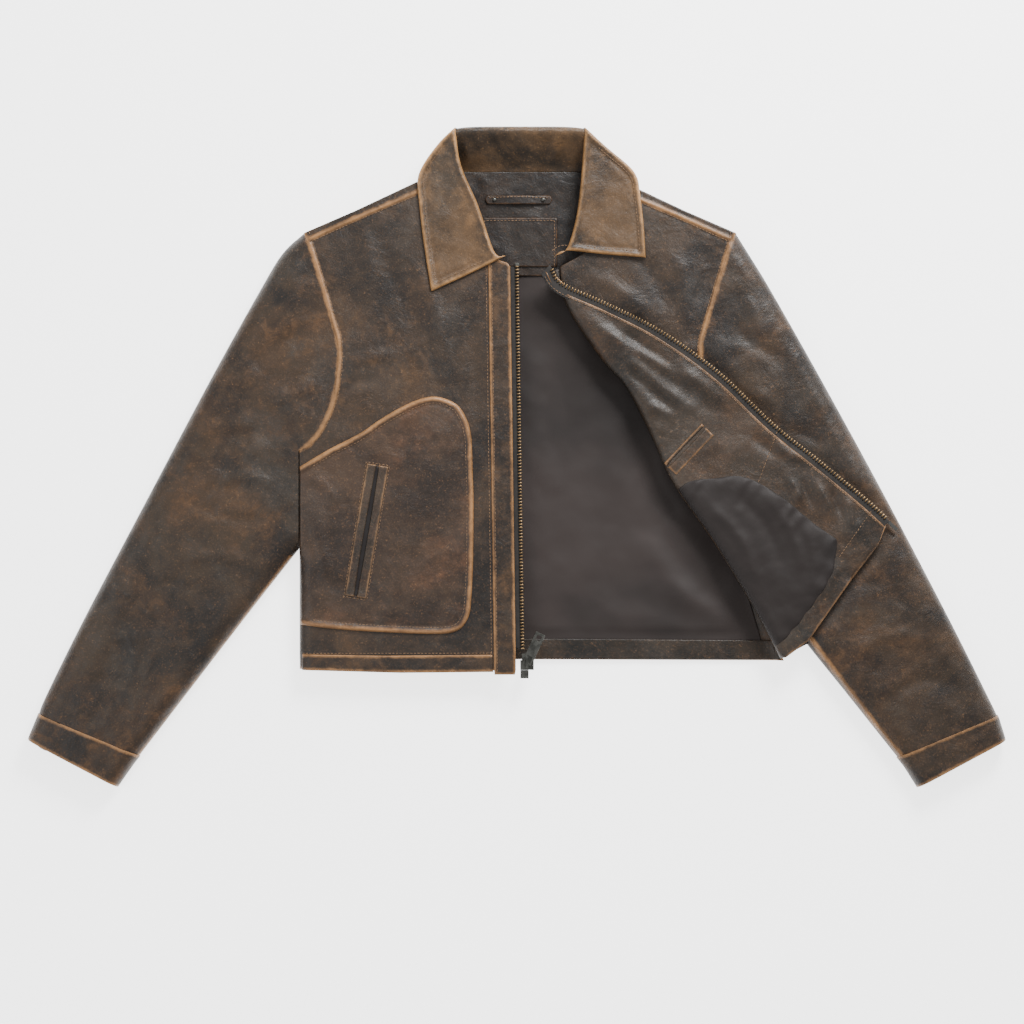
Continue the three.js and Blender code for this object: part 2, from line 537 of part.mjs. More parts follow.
const combBack = offset(teethLine, () => TOOTH_LENGTH + ROOT).reverse();
const leftTeethLow = foldUp(chainTop + 0.4);
add('left_zip_teeth', plate([...leftComb, ...combBack].reverse(), leftTeethLow, leftTapeLow - GAP), BRASS);
const pinEnd = teethLine[teethLine.length - 1];
const pinWay = curve.getTangentAt(1);
add('insertion_pin', block(GAP, 13, -TOOTH_LENGTH - 0.6, -0.4, leftTeethLow, leftTapeLow - GAP)
  .rotateZ(Math.atan2(pinWay.y, pinWay.x)).translate(pinEnd.x, pinEnd.y, 0), GUNMETAL);

// The outer pocket of the left front lies on its hidden face, a mirror image of the right one.
const foldWay = V2(0.4454, -0.8953);
const foldPoint = V2(29, 445.5);
function turned(p) {
  const m = V2(2 * 14 - p.x, p.y);
  const rel = V2(m.x - foldPoint.x, m.y - foldPoint.y);
  const along = rel.dot(foldWay);
  return V2(foldPoint.x + 2 * along * foldWay.x - rel.x, foldPoint.y + 2 * along * foldWay.y - rel.y);
}
const leftPocket = pocketOutline(0).map(turned).reverse();
const leftPocketPlate = common(
  plate(leftPocket, foldUp(panelTop), foldUp(panelLow)),
  grown(flapOutline, 0, 80, 0.99));
add('left_pocket_panel', leftPocketPlate, OUTER);

// ---- collar --------------------------------------------------------------------------------------
const LEAF_LOW = frontTop + 0.4 + GAP;
const leafTop = LEAF_LOW + LEAF_GAUGE;
const rightRoll = points([-28, 462], [-46, 513], [-65, 558], [-COLLAR_HALF, COLLAR_TOP_Y - 4]);
const rightLeaf = points(
  [-15.4, 457.6], [-97, 418.5], [-113, 540], [-104.5, 560], [-COLLAR_HALF, COLLAR_TOP_Y]);
const leftRoll = points([50.6, 466], [61.6, 505], [68.2, 549], [COLLAR_HALF, COLLAR_TOP_Y - 10]);
const leftLeaf = points(
  [37, 456.5], [50.6, 463], [138, 455.6], [131, 536], [120, 555], [COLLAR_HALF, COLLAR_TOP_Y]);
add('right_collar_leaf', plate(
  [...rightLeaf, ...[...rightRoll].reverse().slice(1)].reverse(), LEAF_LOW, leafTop), COLLAR);
add('left_collar_leaf', plate([...leftLeaf, ...[...leftRoll].reverse()], LEAF_LOW, leafTop), COLLAR);
const STAND_LOW_Z = facingTop;
const STAND_GAUGE = 2.4;
add('collar_stand', sheet(12, 4, (u, v, w) => {
  const x = mix(-1, 1, u) * mix(NECK_HALF - 1, COLLAR_HALF - 6, v);
  const y = mix(NECK_Y - 4, COLLAR_TOP_Y - 1 - GAP, v);
  return V3(x, y, mix(STAND_LOW_Z, leafTop - STAND_GAUGE, v * v * (2 - v)) + STAND_GAUGE * w);
}), COLLAR);
add('collar_fall', sheet(12, 4, (u, v, w) => {
  const x = mix(-1, 1, u) * (COLLAR_HALF - 6);
  return V3(x, COLLAR_TOP_Y - 1 + 2.4 * w + 2 * Math.sin(Math.PI * v), mix(leafTop - 1, 0.4, v));
}), COLLAR);

// ---- sleeves -------------------------------------------------------------------------------------
const AROUND = 10;
const ALONG = 6;
const across = (j) => (1 - Math.cos((Math.PI * j) / AROUND)) / 2;
const dome = (u) => Math.sqrt(Math.max(0, 1 - (2 * u - 1) ** 4));
const sleeveHeads = {
  right: {
    side: -1,
    cuffSeam: points([-531.7, -49.2], [-429.3, -104]),
    cuffEnd: points([-544, -73.7], [-443, -127]),
  },
  left: {
    side: 1,
    cuffSeam: points([527.6, -51.7], [425.5, -106.7]),
    cuffEnd: points([537.5, -73.5], [438.2, -127.6]),
  },
};
function sleeveLine(side) {
  const seam = armhole.map((p) => V2(side * -p.x, p.y));
  const line = [...seam, V2(side * HALF_CHEST, SLEEVE_CROTCH_Y)];
  const long = new THREE.CurvePath();
  for (let i = 1; i < line.length; i++) long.add(new THREE.LineCurve(line[i - 1], line[i]));
  return (u) => long.getPointAt(Math.min(1, Math.max(0, u)));
}
// Height of a sleeve's outer faces at the share u of its width, and the same drawn in by a thickness.
const rim = GAP / 2 + LEATHER;
const upper = (u, drawnIn) => SLEEVE_EDGE_Z + rim + (SLEEVE_RISE - SLEEVE_EDGE_Z - rim) * dome(u) - drawnIn;
const lower = (u, drawnIn) => (SLEEVE_EDGE_Z - rim) * (1 - dome(u)) + drawnIn;
const BODY_CLEAR = 0.4;
const bodySpace = plate(backOutline(-BODY_CLEAR), -10, 80);
const LINING_DEPTH = LEATHER + 0.5;
const NARROW = 0.96; // the inner wall of a tube, as a share of its outer width
for (const [name, { side, cuffSeam, cuffEnd }] of Object.entries(sleeveHeads)) {
  const head = sleeveLine(side);
  const between = (a, b, v) => V2(mix(a.x, b.x, v), mix(a.y, b.y, v));
  const seamAt = (u) => V2(mix(cuffSeam[0].x, cuffSeam[1].x, u), mix(cuffSeam[0].y, cuffSeam[1].y, u));
  const endAt = (u) => V2(mix(cuffEnd[0].x, cuffEnd[1].x, u), mix(cuffEnd[0].y, cuffEnd[1].y, u));
  const headAt = (u) => V2(head(u).x + side * GAP, head(u).y);
  const cuffGap = GAP / CUFF_DEPTH;
  const onSleeve = (u, v) => between(headAt(u), seamAt(u), v);
  const onCuff = (u, v) => between(seamAt(u), endAt(u), mix(cuffGap, 1, v));

  const shell = (height) => sheet(AROUND, ALONG, (u, v, w) => {
    const step = Math.round(u * AROUND);
    const s = across(side < 0 ? step : AROUND - step);
    const p = onSleeve(s, 1 - v);
    return V3(p.x, p.y, height(s, w));
  });
  add(`${name}_top_sleeve`, cut(shell((s, w) => upper(s, (1 - w) * LEATHER)), bodySpace), OUTER);
  add(`${name}_under_sleeve`, cut(shell((s, w) => lower(s, w * LEATHER)), bodySpace), OUTER);

  // One turn round a tube: over the top from the outer edge to the inner, and back underneath.
  const ring = (on, first, depth, thick) => (corner, v, w) => {
    const last = AROUND - first;
    const half = last - first;
    const k = side > 0 ? corner : (2 * half - corner) % (2 * half);
    const over = k <= half;
    const j = over ? first + k : last - (k - half);
    const u = across(j);
    const s = w ? u : 0.5 + (u - 0.5) * NARROW;
    const p = on(s, v);
    const drawn = depth + (w ? 0 : thick);
    const edge = first === 0 && (j === 0 || j === AROUND);
    const z = edge ? SLEEVE_EDGE_Z : over ? upper(u, drawn) : lower(u, drawn);
    return V3(p.x, p.y, z);
  };
  const liningTube = tube(2 * (AROUND - 2), ALONG, ring(onSleeve, 1, LINING_DEPTH, SATIN));
  add(`${name}_sleeve_lining`, cut(liningTube, bodySpace), LINING);
  add(`${name}_cuff_band`, tube(2 * AROUND, 1, ring(onCuff, 0, 0, LEATHER)), OUTER);
}

export default jacket;
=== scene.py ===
# %% [markdown]
# # A leather riding jacket, laid out flat
# The jacket lies on its back with its left front turned open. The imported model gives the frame: bodies,
# joints and the place of every part. Around it this file makes the leather, the lining and the zip.

# %% Load the frame
import math
import bmesh
import bpy
import numpy as np
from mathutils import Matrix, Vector, noise
from mathutils.geometry import delaunay_2d_cdt


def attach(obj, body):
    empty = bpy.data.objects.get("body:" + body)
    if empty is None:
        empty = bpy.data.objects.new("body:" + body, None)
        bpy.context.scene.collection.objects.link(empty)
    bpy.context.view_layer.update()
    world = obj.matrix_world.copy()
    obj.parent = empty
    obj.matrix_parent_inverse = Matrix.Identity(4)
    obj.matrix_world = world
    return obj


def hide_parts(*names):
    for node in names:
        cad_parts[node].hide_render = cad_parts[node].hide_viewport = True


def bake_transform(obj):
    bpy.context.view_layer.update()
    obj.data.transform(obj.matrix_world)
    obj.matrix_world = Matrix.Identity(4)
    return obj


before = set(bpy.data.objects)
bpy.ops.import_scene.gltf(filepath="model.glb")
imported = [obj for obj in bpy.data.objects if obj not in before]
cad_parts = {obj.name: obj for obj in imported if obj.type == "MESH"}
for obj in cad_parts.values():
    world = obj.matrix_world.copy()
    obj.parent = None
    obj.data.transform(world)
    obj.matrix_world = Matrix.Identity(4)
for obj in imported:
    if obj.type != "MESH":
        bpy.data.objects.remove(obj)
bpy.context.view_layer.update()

# %% [markdown]
# Lengths in this file are millimetres, as on a paper pattern. x runs from the centre front to the wearer's
# left, y up from the front hem, z up from the floor. One function turns them into the frame's metres.

# %% Pattern units
ORIGIN_Y = 250.0
MM = 0.001


def metres(points):
    """Pattern millimetres to frame metres."""
    p = np.asarray(points, float).copy()
    p[..., 1] -= ORIGIN_Y
    return p * MM


def at(x, y, z):
    """One place in frame metres."""
    return tuple(metres([x, y, z]))


# %% [markdown]
# Camera and light come first. The view is straight down with a long lens, so that the flat jacket keeps its
# pattern's proportions. One large lamp above the shoulders gives the leather its soft shine, a weak one fills
# the shadows, and the floor glows a little, which makes it read as a white studio sheet.

# %% Camera, floor and light
VIEW_WIDTH = 1126.4
VIEW_MIDDLE = (-8.8, 176.0)
EYE_HEIGHT = 4000.0
LEATHER_LEVEL = 25.0
SENSOR = 36.0
FLOOR_SIZE = 9
camera = bpy.data.objects.new("camera", bpy.data.cameras.new("camera"))
bpy.context.collection.objects.link(camera)
camera.location = at(*VIEW_MIDDLE, EYE_HEIGHT)
camera.data.sensor_width = SENSOR
camera.data.lens = SENSOR * (EYE_HEIGHT - LEATHER_LEVEL) / VIEW_WIDTH
bpy.context.scene.camera = camera


def area_light(name, place, target, size, power):
    """A square lamp aimed at the target, in metres and watts."""
    lamp = bpy.data.objects.new(name, bpy.data.lights.new(name, "AREA"))
    bpy.context.collection.objects.link(lamp)
    lamp.data.size = size
    lamp.data.energy = power
    lamp.location = place
    lamp.rotation_euler = (Vector(target) - Vector(place)).to_track_quat("-Z", "Y").to_euler()


area_light("key", (0.75, 1.55, 1.35), (0, 0, 0), 0.8, 88)
area_light("fill", (-1.6, -0.4, 1.9), (0, 0, 0), 1.4, 16)
world = bpy.data.worlds.new("studio")
world.use_nodes = True
sky = world.node_tree.nodes["Background"].inputs
sky["Color"].default_value = (1, 1, 1, 1)
sky["Strength"].default_value = 0.72
bpy.context.scene.world = world
floor_mesh = bpy.data.meshes.new("floor")
corners = [(x * FLOOR_SIZE, y * FLOOR_SIZE, 0) for x, y in ((-1, -1), (1, -1), (1, 1), (-1, 1))]
floor_mesh.from_pydata(corners, [], [(0, 1, 2, 3)])
floor = bpy.data.objects.new("floor", floor_mesh)
bpy.context.collection.objects.link(floor)
floor_stuff = bpy.data.materials.new("paper")
floor_stuff.use_nodes = True
paper = floor_stuff.node_tree.nodes["Principled BSDF"].inputs
for socket_name, value in (("Base Color", (0.93, 0.93, 0.93, 1)), ("Roughness", 0.9),
                           ("Emission Color", (1, 1, 1, 1)), ("Emission Strength", 2.6)):
    paper[socket_name].default_value = value
floor_mesh.materials.append(floor_stuff)
print("camera lens", round(camera.data.lens, 1), "mm")

# %% [markdown]
# ## Shaders as expressions
# Leather needs a dozen noises added and multiplied. Placing those nodes one by one hides the thought, so a
# small class wraps a socket: it takes +, -, * and /, and each operation adds its node.


# %% The socket class
class Wire:
    """A node socket that does sums."""

    def __init__(self, tree, socket):
        self.tree, self.socket = tree, socket

    def node(self, kind, settings=None, output=0, **sockets):
        made = self.tree.nodes.new(kind)
        for key, value in (settings or {}).items():
            setattr(made, key, value)
        for key, value in sockets.items():
            socket = made.inputs[int(key[1:])] if key[0] == "i" and key[1:].isdigit() else made.inputs[key]
            if isinstance(value, Wire):
                self.tree.links.new(value.socket, socket)
            else:
                socket.default_value = value
        return Wire(self.tree, made.outputs[output])

    def sum(self, operation, a, b=0.0):
        return self.node("ShaderNodeMath", {"operation": operation}, i0=a, i1=b)

    def __add__(self, other):
        return self.sum("ADD", self, other)

    __radd__ = __add__

    def __sub__(self, other):
        return self.sum("SUBTRACT", self, other)

    def __rsub__(self, other):
        return self.sum("SUBTRACT", other, self)

    def __mul__(self, other):
        return self.sum("MULTIPLY", self, other)

    __rmul__ = __mul__

    def __truediv__(self, other):
        return self.sum("DIVIDE", self, other)

    def ramp(self, low, high):
        """0 below low, 1 above high, smooth between."""
        smoothly = {"interpolation_type": "SMOOTHSTEP"}
        return self.node("ShaderNodeMapRange", smoothly, i0=self, i1=low, i2=high, i3=0.0, i4=1.0)

    def mix(self, a, b):
        """Colour a where this is 0, and b where it is 1."""
        made = self.tree.nodes.new("ShaderNodeMix")
        made.data_type = "RGBA"
        self.tree.links.new(self.socket, made.inputs[0])
        for socket, value in ((made.inputs[6], a), (made.inputs[7], b)):
            if isinstance(value, Wire):
                self.tree.links.new(value.socket, socket)
            else:
                socket.default_value = (*value, 1.0)
        return Wire(self.tree, made.outputs[2])

    def noise(self, scale, detail=4.0, rough=0.55, warp=0.0):
        """A noise pattern on this vector."""
        settings = {"Scale": scale, "Detail": detail, "Roughness": rough, "Distortion": warp}
        return self.node("ShaderNodeTexNoise", {}, 0, Vector=self, **settings)


def material(name):
    """A new material: (it, its shader node, a wire of Object coordinates)."""
    made = bpy.data.materials.new(name)
    made.use_nodes = True
    tree = made.node_tree
    shader = tree.nodes["Principled BSDF"]
    place = tree.nodes.new("ShaderNodeTexCoord")
    return made, shader, Wire(tree, place.outputs["Object"])


def plug(shader, name, wire):
    """Link a wire to a named socket."""
    wire.tree.links.new(wire.socket, shader.inputs[name])


def bump(wire, strength, distance, under=None):
    """A bump from a height, over another bump if there is one."""
    sockets = {"Strength": strength, "Distance": distance, "Height": wire}
    if under is not None:
        sockets["Normal"] = under
    return wire.node("ShaderNodeBump", {}, 0, **sockets)


# %% [markdown]
# ## Waxed leather
# The hide is dyed dark over a lighter base and then rubbed back. Cloudy patches run from blue-grey to rust,
# fine cracks show as lighter specks, and every turned edge is rubbed down to tan. It could be painted, but a
# material worked out from Object coordinates has no seams and suits every cut. The attribute seam holds
# each point's distance in millimetres to its nearest turned edge, so the tan follows the pattern.


# %% Leather
def leather(name, dark, brown, rust, cool, tan, rust_share=0.5, wear=1.0, tan_wide=2.6):
    """Waxed leather from its five tones. tan_wide is the rubbed edge's width in millimetres."""
    made, shader, place = material(name)
    seam = place.node("ShaderNodeAttribute", {"attribute_name": "seam"}, 2)
    cloud = place.noise(13.0, 8.0, 0.68, 0.35)
    patch = place.noise(7.5, 8.0, 0.66, 0.6).ramp(0.52 - 0.08 * rust_share, 0.64)
    grey = place.noise(9.3, 7.0, 0.66, 0.4).ramp(0.50, 0.64)
    vein = place.noise(55.0, 10.0, 0.78, 0.4).ramp(0.47, 0.66)
    speck = place.noise(160.0, 8.0, 0.80).ramp(0.50, 0.68)
    fleck = place.noise(520.0, 3.0, 0.7)
    colour = cloud.ramp(0.38, 0.62).mix(dark, brown)
    colour = (patch * (0.25 + 0.75 * vein)).mix(colour, rust)
    colour = (grey * (0.30 + 0.60 * speck)).mix(colour, cool)
    colour = (speck * vein * 0.55).mix(colour, rust)
    colour = (fleck.ramp(0.50, 0.72) * (0.25 + speck) * 0.34).mix(colour, tan)
    ragged = seam + (place.noise(90.0, 6.0, 0.75) - 0.5) * 6.0
    patchy = 0.45 + 0.55 * place.noise(18.0, 6.0, 0.75).ramp(0.36, 0.58)
    rubbed = (1.0 - ragged.ramp(tan_wide - 2.4, tan_wide + 1.6)) * patchy
    halo = 1.0 - (seam + (place.noise(28.0, 4.0, 0.65) - 0.5) * 30.0).ramp(3.0, 24.0)
    colour = (halo * vein * 0.55 * wear).mix(colour, rust)
    colour = (rubbed * 0.85 * wear).mix(colour, tan)
    plug(shader, "Base Color", colour)
    rough = 0.38 + 0.14 * fleck + 0.16 * vein - 0.04 * rubbed
    plug(shader, "Roughness", rough)
    shader.inputs["Specular IOR Level"].default_value = 0.40
    cell = place.node("ShaderNodeTexVoronoi", {"feature": "F1"}, 0, Vector=place, Scale=900.0)
    grain = bump(cell, 0.22, 0.0004)
    crack = bump(place.noise(150.0, 8.0, 0.75, 0.6), 0.30, 0.0012, grain)
    plug(shader, "Normal", bump(place.noise(34.0, 5.0, 0.6, 0.8), 0.35, 0.0040, crack))
    return made


BODY_LEATHER = leather(
    "waxed_leather", dark=(0.006, 0.004, 0.003), brown=(0.030, 0.018, 0.010), rust=(0.074, 0.036, 0.013),
    cool=(0.036, 0.031, 0.026), tan=(0.340, 0.170, 0.066))
SLEEVE_LEATHER = leather(
    "sleeve_leather", dark=(0.006, 0.004, 0.003), brown=(0.028, 0.017, 0.009), rust=(0.070, 0.033, 0.012),
    cool=(0.034, 0.031, 0.027), tan=(0.320, 0.160, 0.062), rust_share=0.7)
POCKET_LEATHER = leather(
    "pocket_leather", dark=(0.014, 0.008, 0.005), brown=(0.044, 0.025, 0.014), rust=(0.086, 0.037, 0.016),
    cool=(0.048, 0.037, 0.029), tan=(0.370, 0.185, 0.074), rust_share=0.8, wear=1.0, tan_wide=4.6)
COLLAR_LEATHER = leather(
    "collar_leather", dark=(0.014, 0.009, 0.005), brown=(0.072, 0.040, 0.018), rust=(0.150, 0.078, 0.030),
    cool=(0.050, 0.038, 0.027), tan=(0.420, 0.220, 0.085), rust_share=0.9, wear=1.0, tan_wide=3.0)
FACING_LEATHER = leather(
    "facing_leather", dark=(0.005, 0.004, 0.003), brown=(0.022, 0.014, 0.008), rust=(0.056, 0.027, 0.011),
    cool=(0.052, 0.043, 0.035), tan=(0.300, 0.150, 0.060), rust_share=0.3, wear=0.9, tan_wide=1.4)
# Painted shade: this leather is much darker than the body's hide and stands in for the shade inside the back
# neck, under the collar. The label and the hanger strap use it too.
SHADED_NECK_LEATHER = leather(
    "neck_leather_painted_shade", dark=(0.003, 0.002, 0.002), brown=(0.012, 0.007, 0.004), rust=(0.030, 0.015, 0.007),
    cool=(0.012, 0.010, 0.009), tan=(0.200, 0.095, 0.036), rust_share=0.3, wear=0.7, tan_wide=0.4)
print("leathers:", len(bpy.data.materials) - 1)

# %% [markdown]
# Satin, zip tape, thread and metal finish the set. Satin is a dark cloth with a fine weave and a low sheen.
# The others are one plain recipe, a colour with some dirt in it, and the brass differs from the thread only
# in its numbers.


# %% Cloth and metal
def satin(name, deep, light):
    """Lining satin between two tones."""
    made, shader, place = material(name)
    tone = place.noise(5.0, 3.0, 0.5).ramp(0.35, 0.65)
    bands = {"wave_type": "BANDS"}
    weave = place.node("ShaderNodeTexWave", bands, 1, Vector=place, Scale=900.0, Distortion=0.6)
    plug(shader, "Base Color", tone.mix(deep, light))
    plug(shader, "Roughness", 0.56 + 0.10 * place.noise(60.0, 3.0))
    shader.inputs["Specular IOR Level"].default_value = 0.30
    shader.inputs["Sheen Weight"].default_value = 0.04
    shader.inputs["Sheen Roughness"].default_value = 0.4
    plug(shader, "Normal", bump(place.noise(30.0, 4.0, 0.6, 0.5), 0.18, 0.0012, bump(weave, 0.08, 0.0001)))
    return made


def plain(name, colour, rough, metal=0.0, bumps=0.0):
    """One colour with some dirt in it: thread, tape or metal."""
    made, shader, place = material(name)
    dirt = place.noise(120.0, 4.0, 0.6)
    dark = tuple(0.55 * c for c in colour)
    plug(shader, "Base Color", dirt.ramp(0.35, 0.62).mix(dark, colour))
    plug(shader, "Roughness", rough + 0.15 * dirt)
    shader.inputs["Metallic"].default_value = metal
    if bumps:
        plug(shader, "Normal", bump(place.noise(600.0, 4.0, 0.7), bumps, 0.0004))
    return made


SATIN = satin("brown_satin", (0.016, 0.012, 0.011), (0.030, 0.022, 0.020))
# Painted shade: a darker copy of the lining satin. The turned-back front's lining takes it, and so does the
# welt slit, where it stands in for the shadow in the pocket's mouth.
SHADED_SATIN = satin("front_satin_painted_shade", (0.007, 0.005, 0.005), (0.014, 0.010, 0.009))
SLEEVE_SATIN = satin("sleeve_satin", (0.018, 0.015, 0.014), (0.030, 0.025, 0.024))
TAPE = plain("zip_tape", (0.020, 0.017, 0.015), 0.80, 0.0, 0.5)
BRASS = plain("zip_brass", (0.25, 0.165, 0.085), 0.38, 1.0)
GUNMETAL = plain("gunmetal", (0.105, 0.105, 0.096), 0.34, 1.0)
THREAD = plain("thread", (0.20, 0.115, 0.060), 0.75)

# %% [markdown]
# ## Pattern tools
# Every piece starts as a line on the paper pattern, as it does at a cutter's table. These few functions
# round a line, space its points, measure the distance to it and tell what lies inside it.


# %% Lines
def smooth(points, per=8):
    """A rounded line through the points."""
    p = np.asarray(points, float)
    p = np.vstack([2 * p[0] - p[1], p, 2 * p[-1] - p[-2]])
    out = []
    for i in range(1, len(p) - 2):
        for k in range(per):
            t = k / per
            a, b, c, d = p[i - 1 : i + 3]
            bend, twist = 2 * a - 5 * b + 4 * c - d, 3 * b - a - 3 * c + d
            out.append(0.5 * (2 * b + (c - a) * t + bend * t**2 + twist * t**3))
    out.append(p[-2])
    return np.array(out)


def spaced(line, step):
    """The line with even spacing."""
    line = np.asarray(line, float)
    run = np.r_[0, np.cumsum(np.linalg.norm(np.diff(line, axis=0), axis=1))]
    marks = np.linspace(0, run[-1], max(2, int(round(run[-1] / step)) + 1))
    return np.column_stack([np.interp(marks, run, line[:, k]) for k in range(line.shape[1])])


def ring_of(*lines, step=2.6):
    """One closed ring from lines laid end to end."""
    parts = [spaced(line, step)[:-1] if len(line) > 1 else np.asarray(line, float) for line in lines]
    ring = np.vstack(parts)
    gap = np.linalg.norm(ring - np.roll(ring, 1, axis=0), axis=1)
    ring = ring[gap > 0.2]
    last = np.vstack([ring[-1:], ring[:1]])
    return np.vstack([ring, spaced(last, step)[1:-1]])


def away(p, line, closed=False):
    """Distance from each point to a line."""
    line = np.asarray(line, float)
    ends = np.roll(line, -1, axis=0) if closed else line[1:]
    starts = line if closed else line[:-1]
    best = np.full(len(p), 1e9)
    for a, b in zip(starts, ends):
        d = b - a
        t = np.clip(((p - a) @ d) / max(d @ d, 1e-9), 0, 1)
        best = np.minimum(best, np.hypot(*(p - a - t[:, None] * d).T))
    return best


def within(p, ring):
    """Which points lie inside the ring."""
    hit = np.zeros(len(p), bool)
    x, y = p.T
    for (ax, ay), (bx, by) in zip(ring, np.roll(ring, -1, axis=0)):
        if ay != by:
            hit ^= ((ay > y) != (by > y)) & (x < (bx - ax) * (y - ay) / (by - ay) + ax)
    return hit


def beside(line, off):
    """The line moved off to its left."""
    line = np.asarray(line, float)
    t = np.gradient(line, axis=0)
    t /= np.linalg.norm(t, axis=1)[:, None] + 1e-9
    return line + off * np.column_stack([-t[:, 1], t[:, 0]])


# %% [markdown]
# Leather that has been worn is never level. Soft noise gives the slow waves, and drawn strokes give the
# creases, because creases start and end where the jacket bends and noise wouldn't put them there.


# %% Waves and creases
def ripple(p, size, seed, octaves=3):
    """Soft random height, about -1 to 1, with lumps of that size."""
    return np.array([noise.fractal(Vector((x / size, y / size, seed)), 0.8, 2.1, octaves) for x, y in p])


def folds(p, strokes):
    """Height of drawn creases. A stroke is (points, half width, height)."""
    z = np.zeros(len(p))
    for points, wide, high in strokes:
        line = spaced(smooth(points), 8.0) if len(points) > 2 else spaced(points, 8.0)
        d = away(p, line)
        ends = np.minimum(np.hypot(*(p - line[0]).T), np.hypot(*(p - line[-1]).T))
        length = np.linalg.norm(np.diff(line, axis=0), axis=1).sum()
        fade = np.clip(ends / (0.35 * length), 0.0, 1.0)
        z += high * np.exp(-((d / wide) ** 2)) * (0.15 + 0.85 * fade * fade * (3 - 2 * fade))
    return z


# %% [markdown]
# ## Cutting a hide
# A mesh is made from millimetre points, with the distance to its seam stored on each of them. Strips that
# are not cut from a ring, such as the collar's stand, are woven from rows of points.


# %% Meshes
FAR_FROM_SEAM = 60.0


def level(line, z):
    """A flat line at one height, as points in space."""
    return np.column_stack([line, np.full(len(line), z)])


def woven(rows, count):
    """The four-sided faces of a strip made of rows of points, each row with that many."""
    return [(r * count + i, r * count + i + 1, (r + 1) * count + i + 1, (r + 1) * count + i)
            for r in range(rows - 1) for i in range(count - 1)]


def mesh_piece(name, points, faces, stuff, seam=None):
    """A finished mesh from millimetre points."""
    mesh = bpy.data.meshes.new(name)
    mesh.from_pydata([tuple(v) for v in metres(points)], [], faces)
    mesh.validate()
    mesh.materials.append(stuff)
    if seam is not None:
        mesh.attributes.new("seam", "FLOAT", "POINT").data.foreach_set("value", np.asarray(seam, "f"))
    mesh.shade_smooth()
    made = bpy.data.objects.new(name, mesh)
    bpy.context.collection.objects.link(made)
    print(f"{name}: {len(mesh.polygons)} faces")
    return made


# %% [markdown]
# The outline is filled with triangles of one size, which bend evenly. A grid trimmed to the outline would
# leave a ragged edge, so rows of extra points follow the outline and each ridge, and turned edges stay crisp.


# %% Triangles over an outline
EDGE_ROWS = (0.6, 1.4, 2.6)
RIDGE_ROWS = (-3.2, -2.0, -1.0, 0.0, 1.0, 2.0, 3.2)


def trimmed(points, faces, ring):
    """Only the faces whose middle lies inside the ring, and the points they use."""
    faces = faces[within(points[faces].mean(axis=1), ring)]
    used, faces = np.unique(faces, return_inverse=True)
    return points[used], faces.reshape(-1, 3)


def cut(ring, ridges=(), step=3.4, rows=EDGE_ROWS):
    """Triangles over a ring: (points, faces)."""
    ring = np.asarray(ring, float)
    (left, bottom), (right, top) = ring.min(0), ring.max(0)
    ys = np.arange(bottom, top, step * 0.87)
    xs = np.arange(left, right, step)
    grid = np.array([(x + (i % 2) * step / 2, y) for i, y in enumerate(ys) for x in xs])
    grid = grid[within(grid, ring)]
    keep = away(grid, ring, True) > rows[-1] + 1.0
    for line in ridges:
        keep &= away(grid, line) > RIDGE_ROWS[-1] + 0.8
    sets = [grid[keep]]
    area = np.sum(ring[:, 0] * np.roll(ring[:, 1], -1) - ring[:, 1] * np.roll(ring[:, 0], -1))
    loop = np.vstack([ring, ring[:1]])
    for off in rows:
        row = beside(loop, off if area > 0 else -off)[:-1]
        sets.append(row[(away(row, ring, True) > off * 0.9) & within(row, ring)])
    for line in ridges:
        for off in RIDGE_ROWS:
            row = beside(spaced(line, 2.6), off)
            row = row[within(row, ring)]
            sets.append(row[away(row, ring, True) > 0.5])
    inner = np.vstack(sets)
    every = np.vstack([ring, inner])
    n = len(ring)
    edges = [(i, (i + 1) % n) for i in range(n)]
    done = delaunay_2d_cdt([Vector(v) for v in every], edges, [], 0, 1e-4)
    points = np.array([tuple(v) for v in done[0]])
    faces = np.array([f for f in done[2] if len(f) == 3])
    middle = points[faces].mean(axis=1)
    faces = faces[within(middle, ring)]
    a, b, c = (points[faces[:, k]] for k in range(3))
    turn = (b[:, 0] - a[:, 0]) * (c[:, 1] - a[:, 1]) - (b[:, 1] - a[:, 1]) * (c[:, 0] - a[:, 0])
    faces[turn < 0] = faces[turn < 0][:, ::-1]
    faces = faces[np.abs(turn) > 1e-7]
    used, faces = np.unique(faces, return_inverse=True)
    return points[used], faces.reshape(-1, 3)


def borders(faces):
    """Edges used once, in their face's direction."""
    seen = {}
    for f in faces:
        for k in range(3):
            a, b = int(f[k]), int(f[(k + 1) % 3])
            seen[(a, b)] = True
    return [(a, b) for (a, b) in seen if (b, a) not in seen]


# %% [markdown]
# Leather is about 1.5 mm thick and its cut edges are turned under, so an edge is a quarter round and a seam
# is a low ridge with a valley beside it. Both are simple curves of the distance to a line. Cutting the
# height this way keeps every seam exactly on the pattern, which sculpting or a bevel wouldn't.


# %% Rounded edges, seams and thickness
def arch(d, radius):
    """A quarter circle over distance d: 0 at the edge, 1 from radius on."""
    return np.sqrt(np.maximum(0, 1 - np.clip(1 - d / radius, 0, 1) ** 2))


def round_edge(d, radius):
    """Drop of a rounded edge at distance d inside it."""
    return radius * (1 - arch(d, radius))


def bell(d, width):
    """1 on the line, falling softly to 0 at about twice the width."""
    return np.exp(-((d / width) ** 2))


def raised_seam(d, bead):
    """A seam's ridge, with the small valley that the stitching pulls beside it."""
    return bead * bell(d, 1.9) - 0.45 * bead * bell(d - 3.4, 1.3)


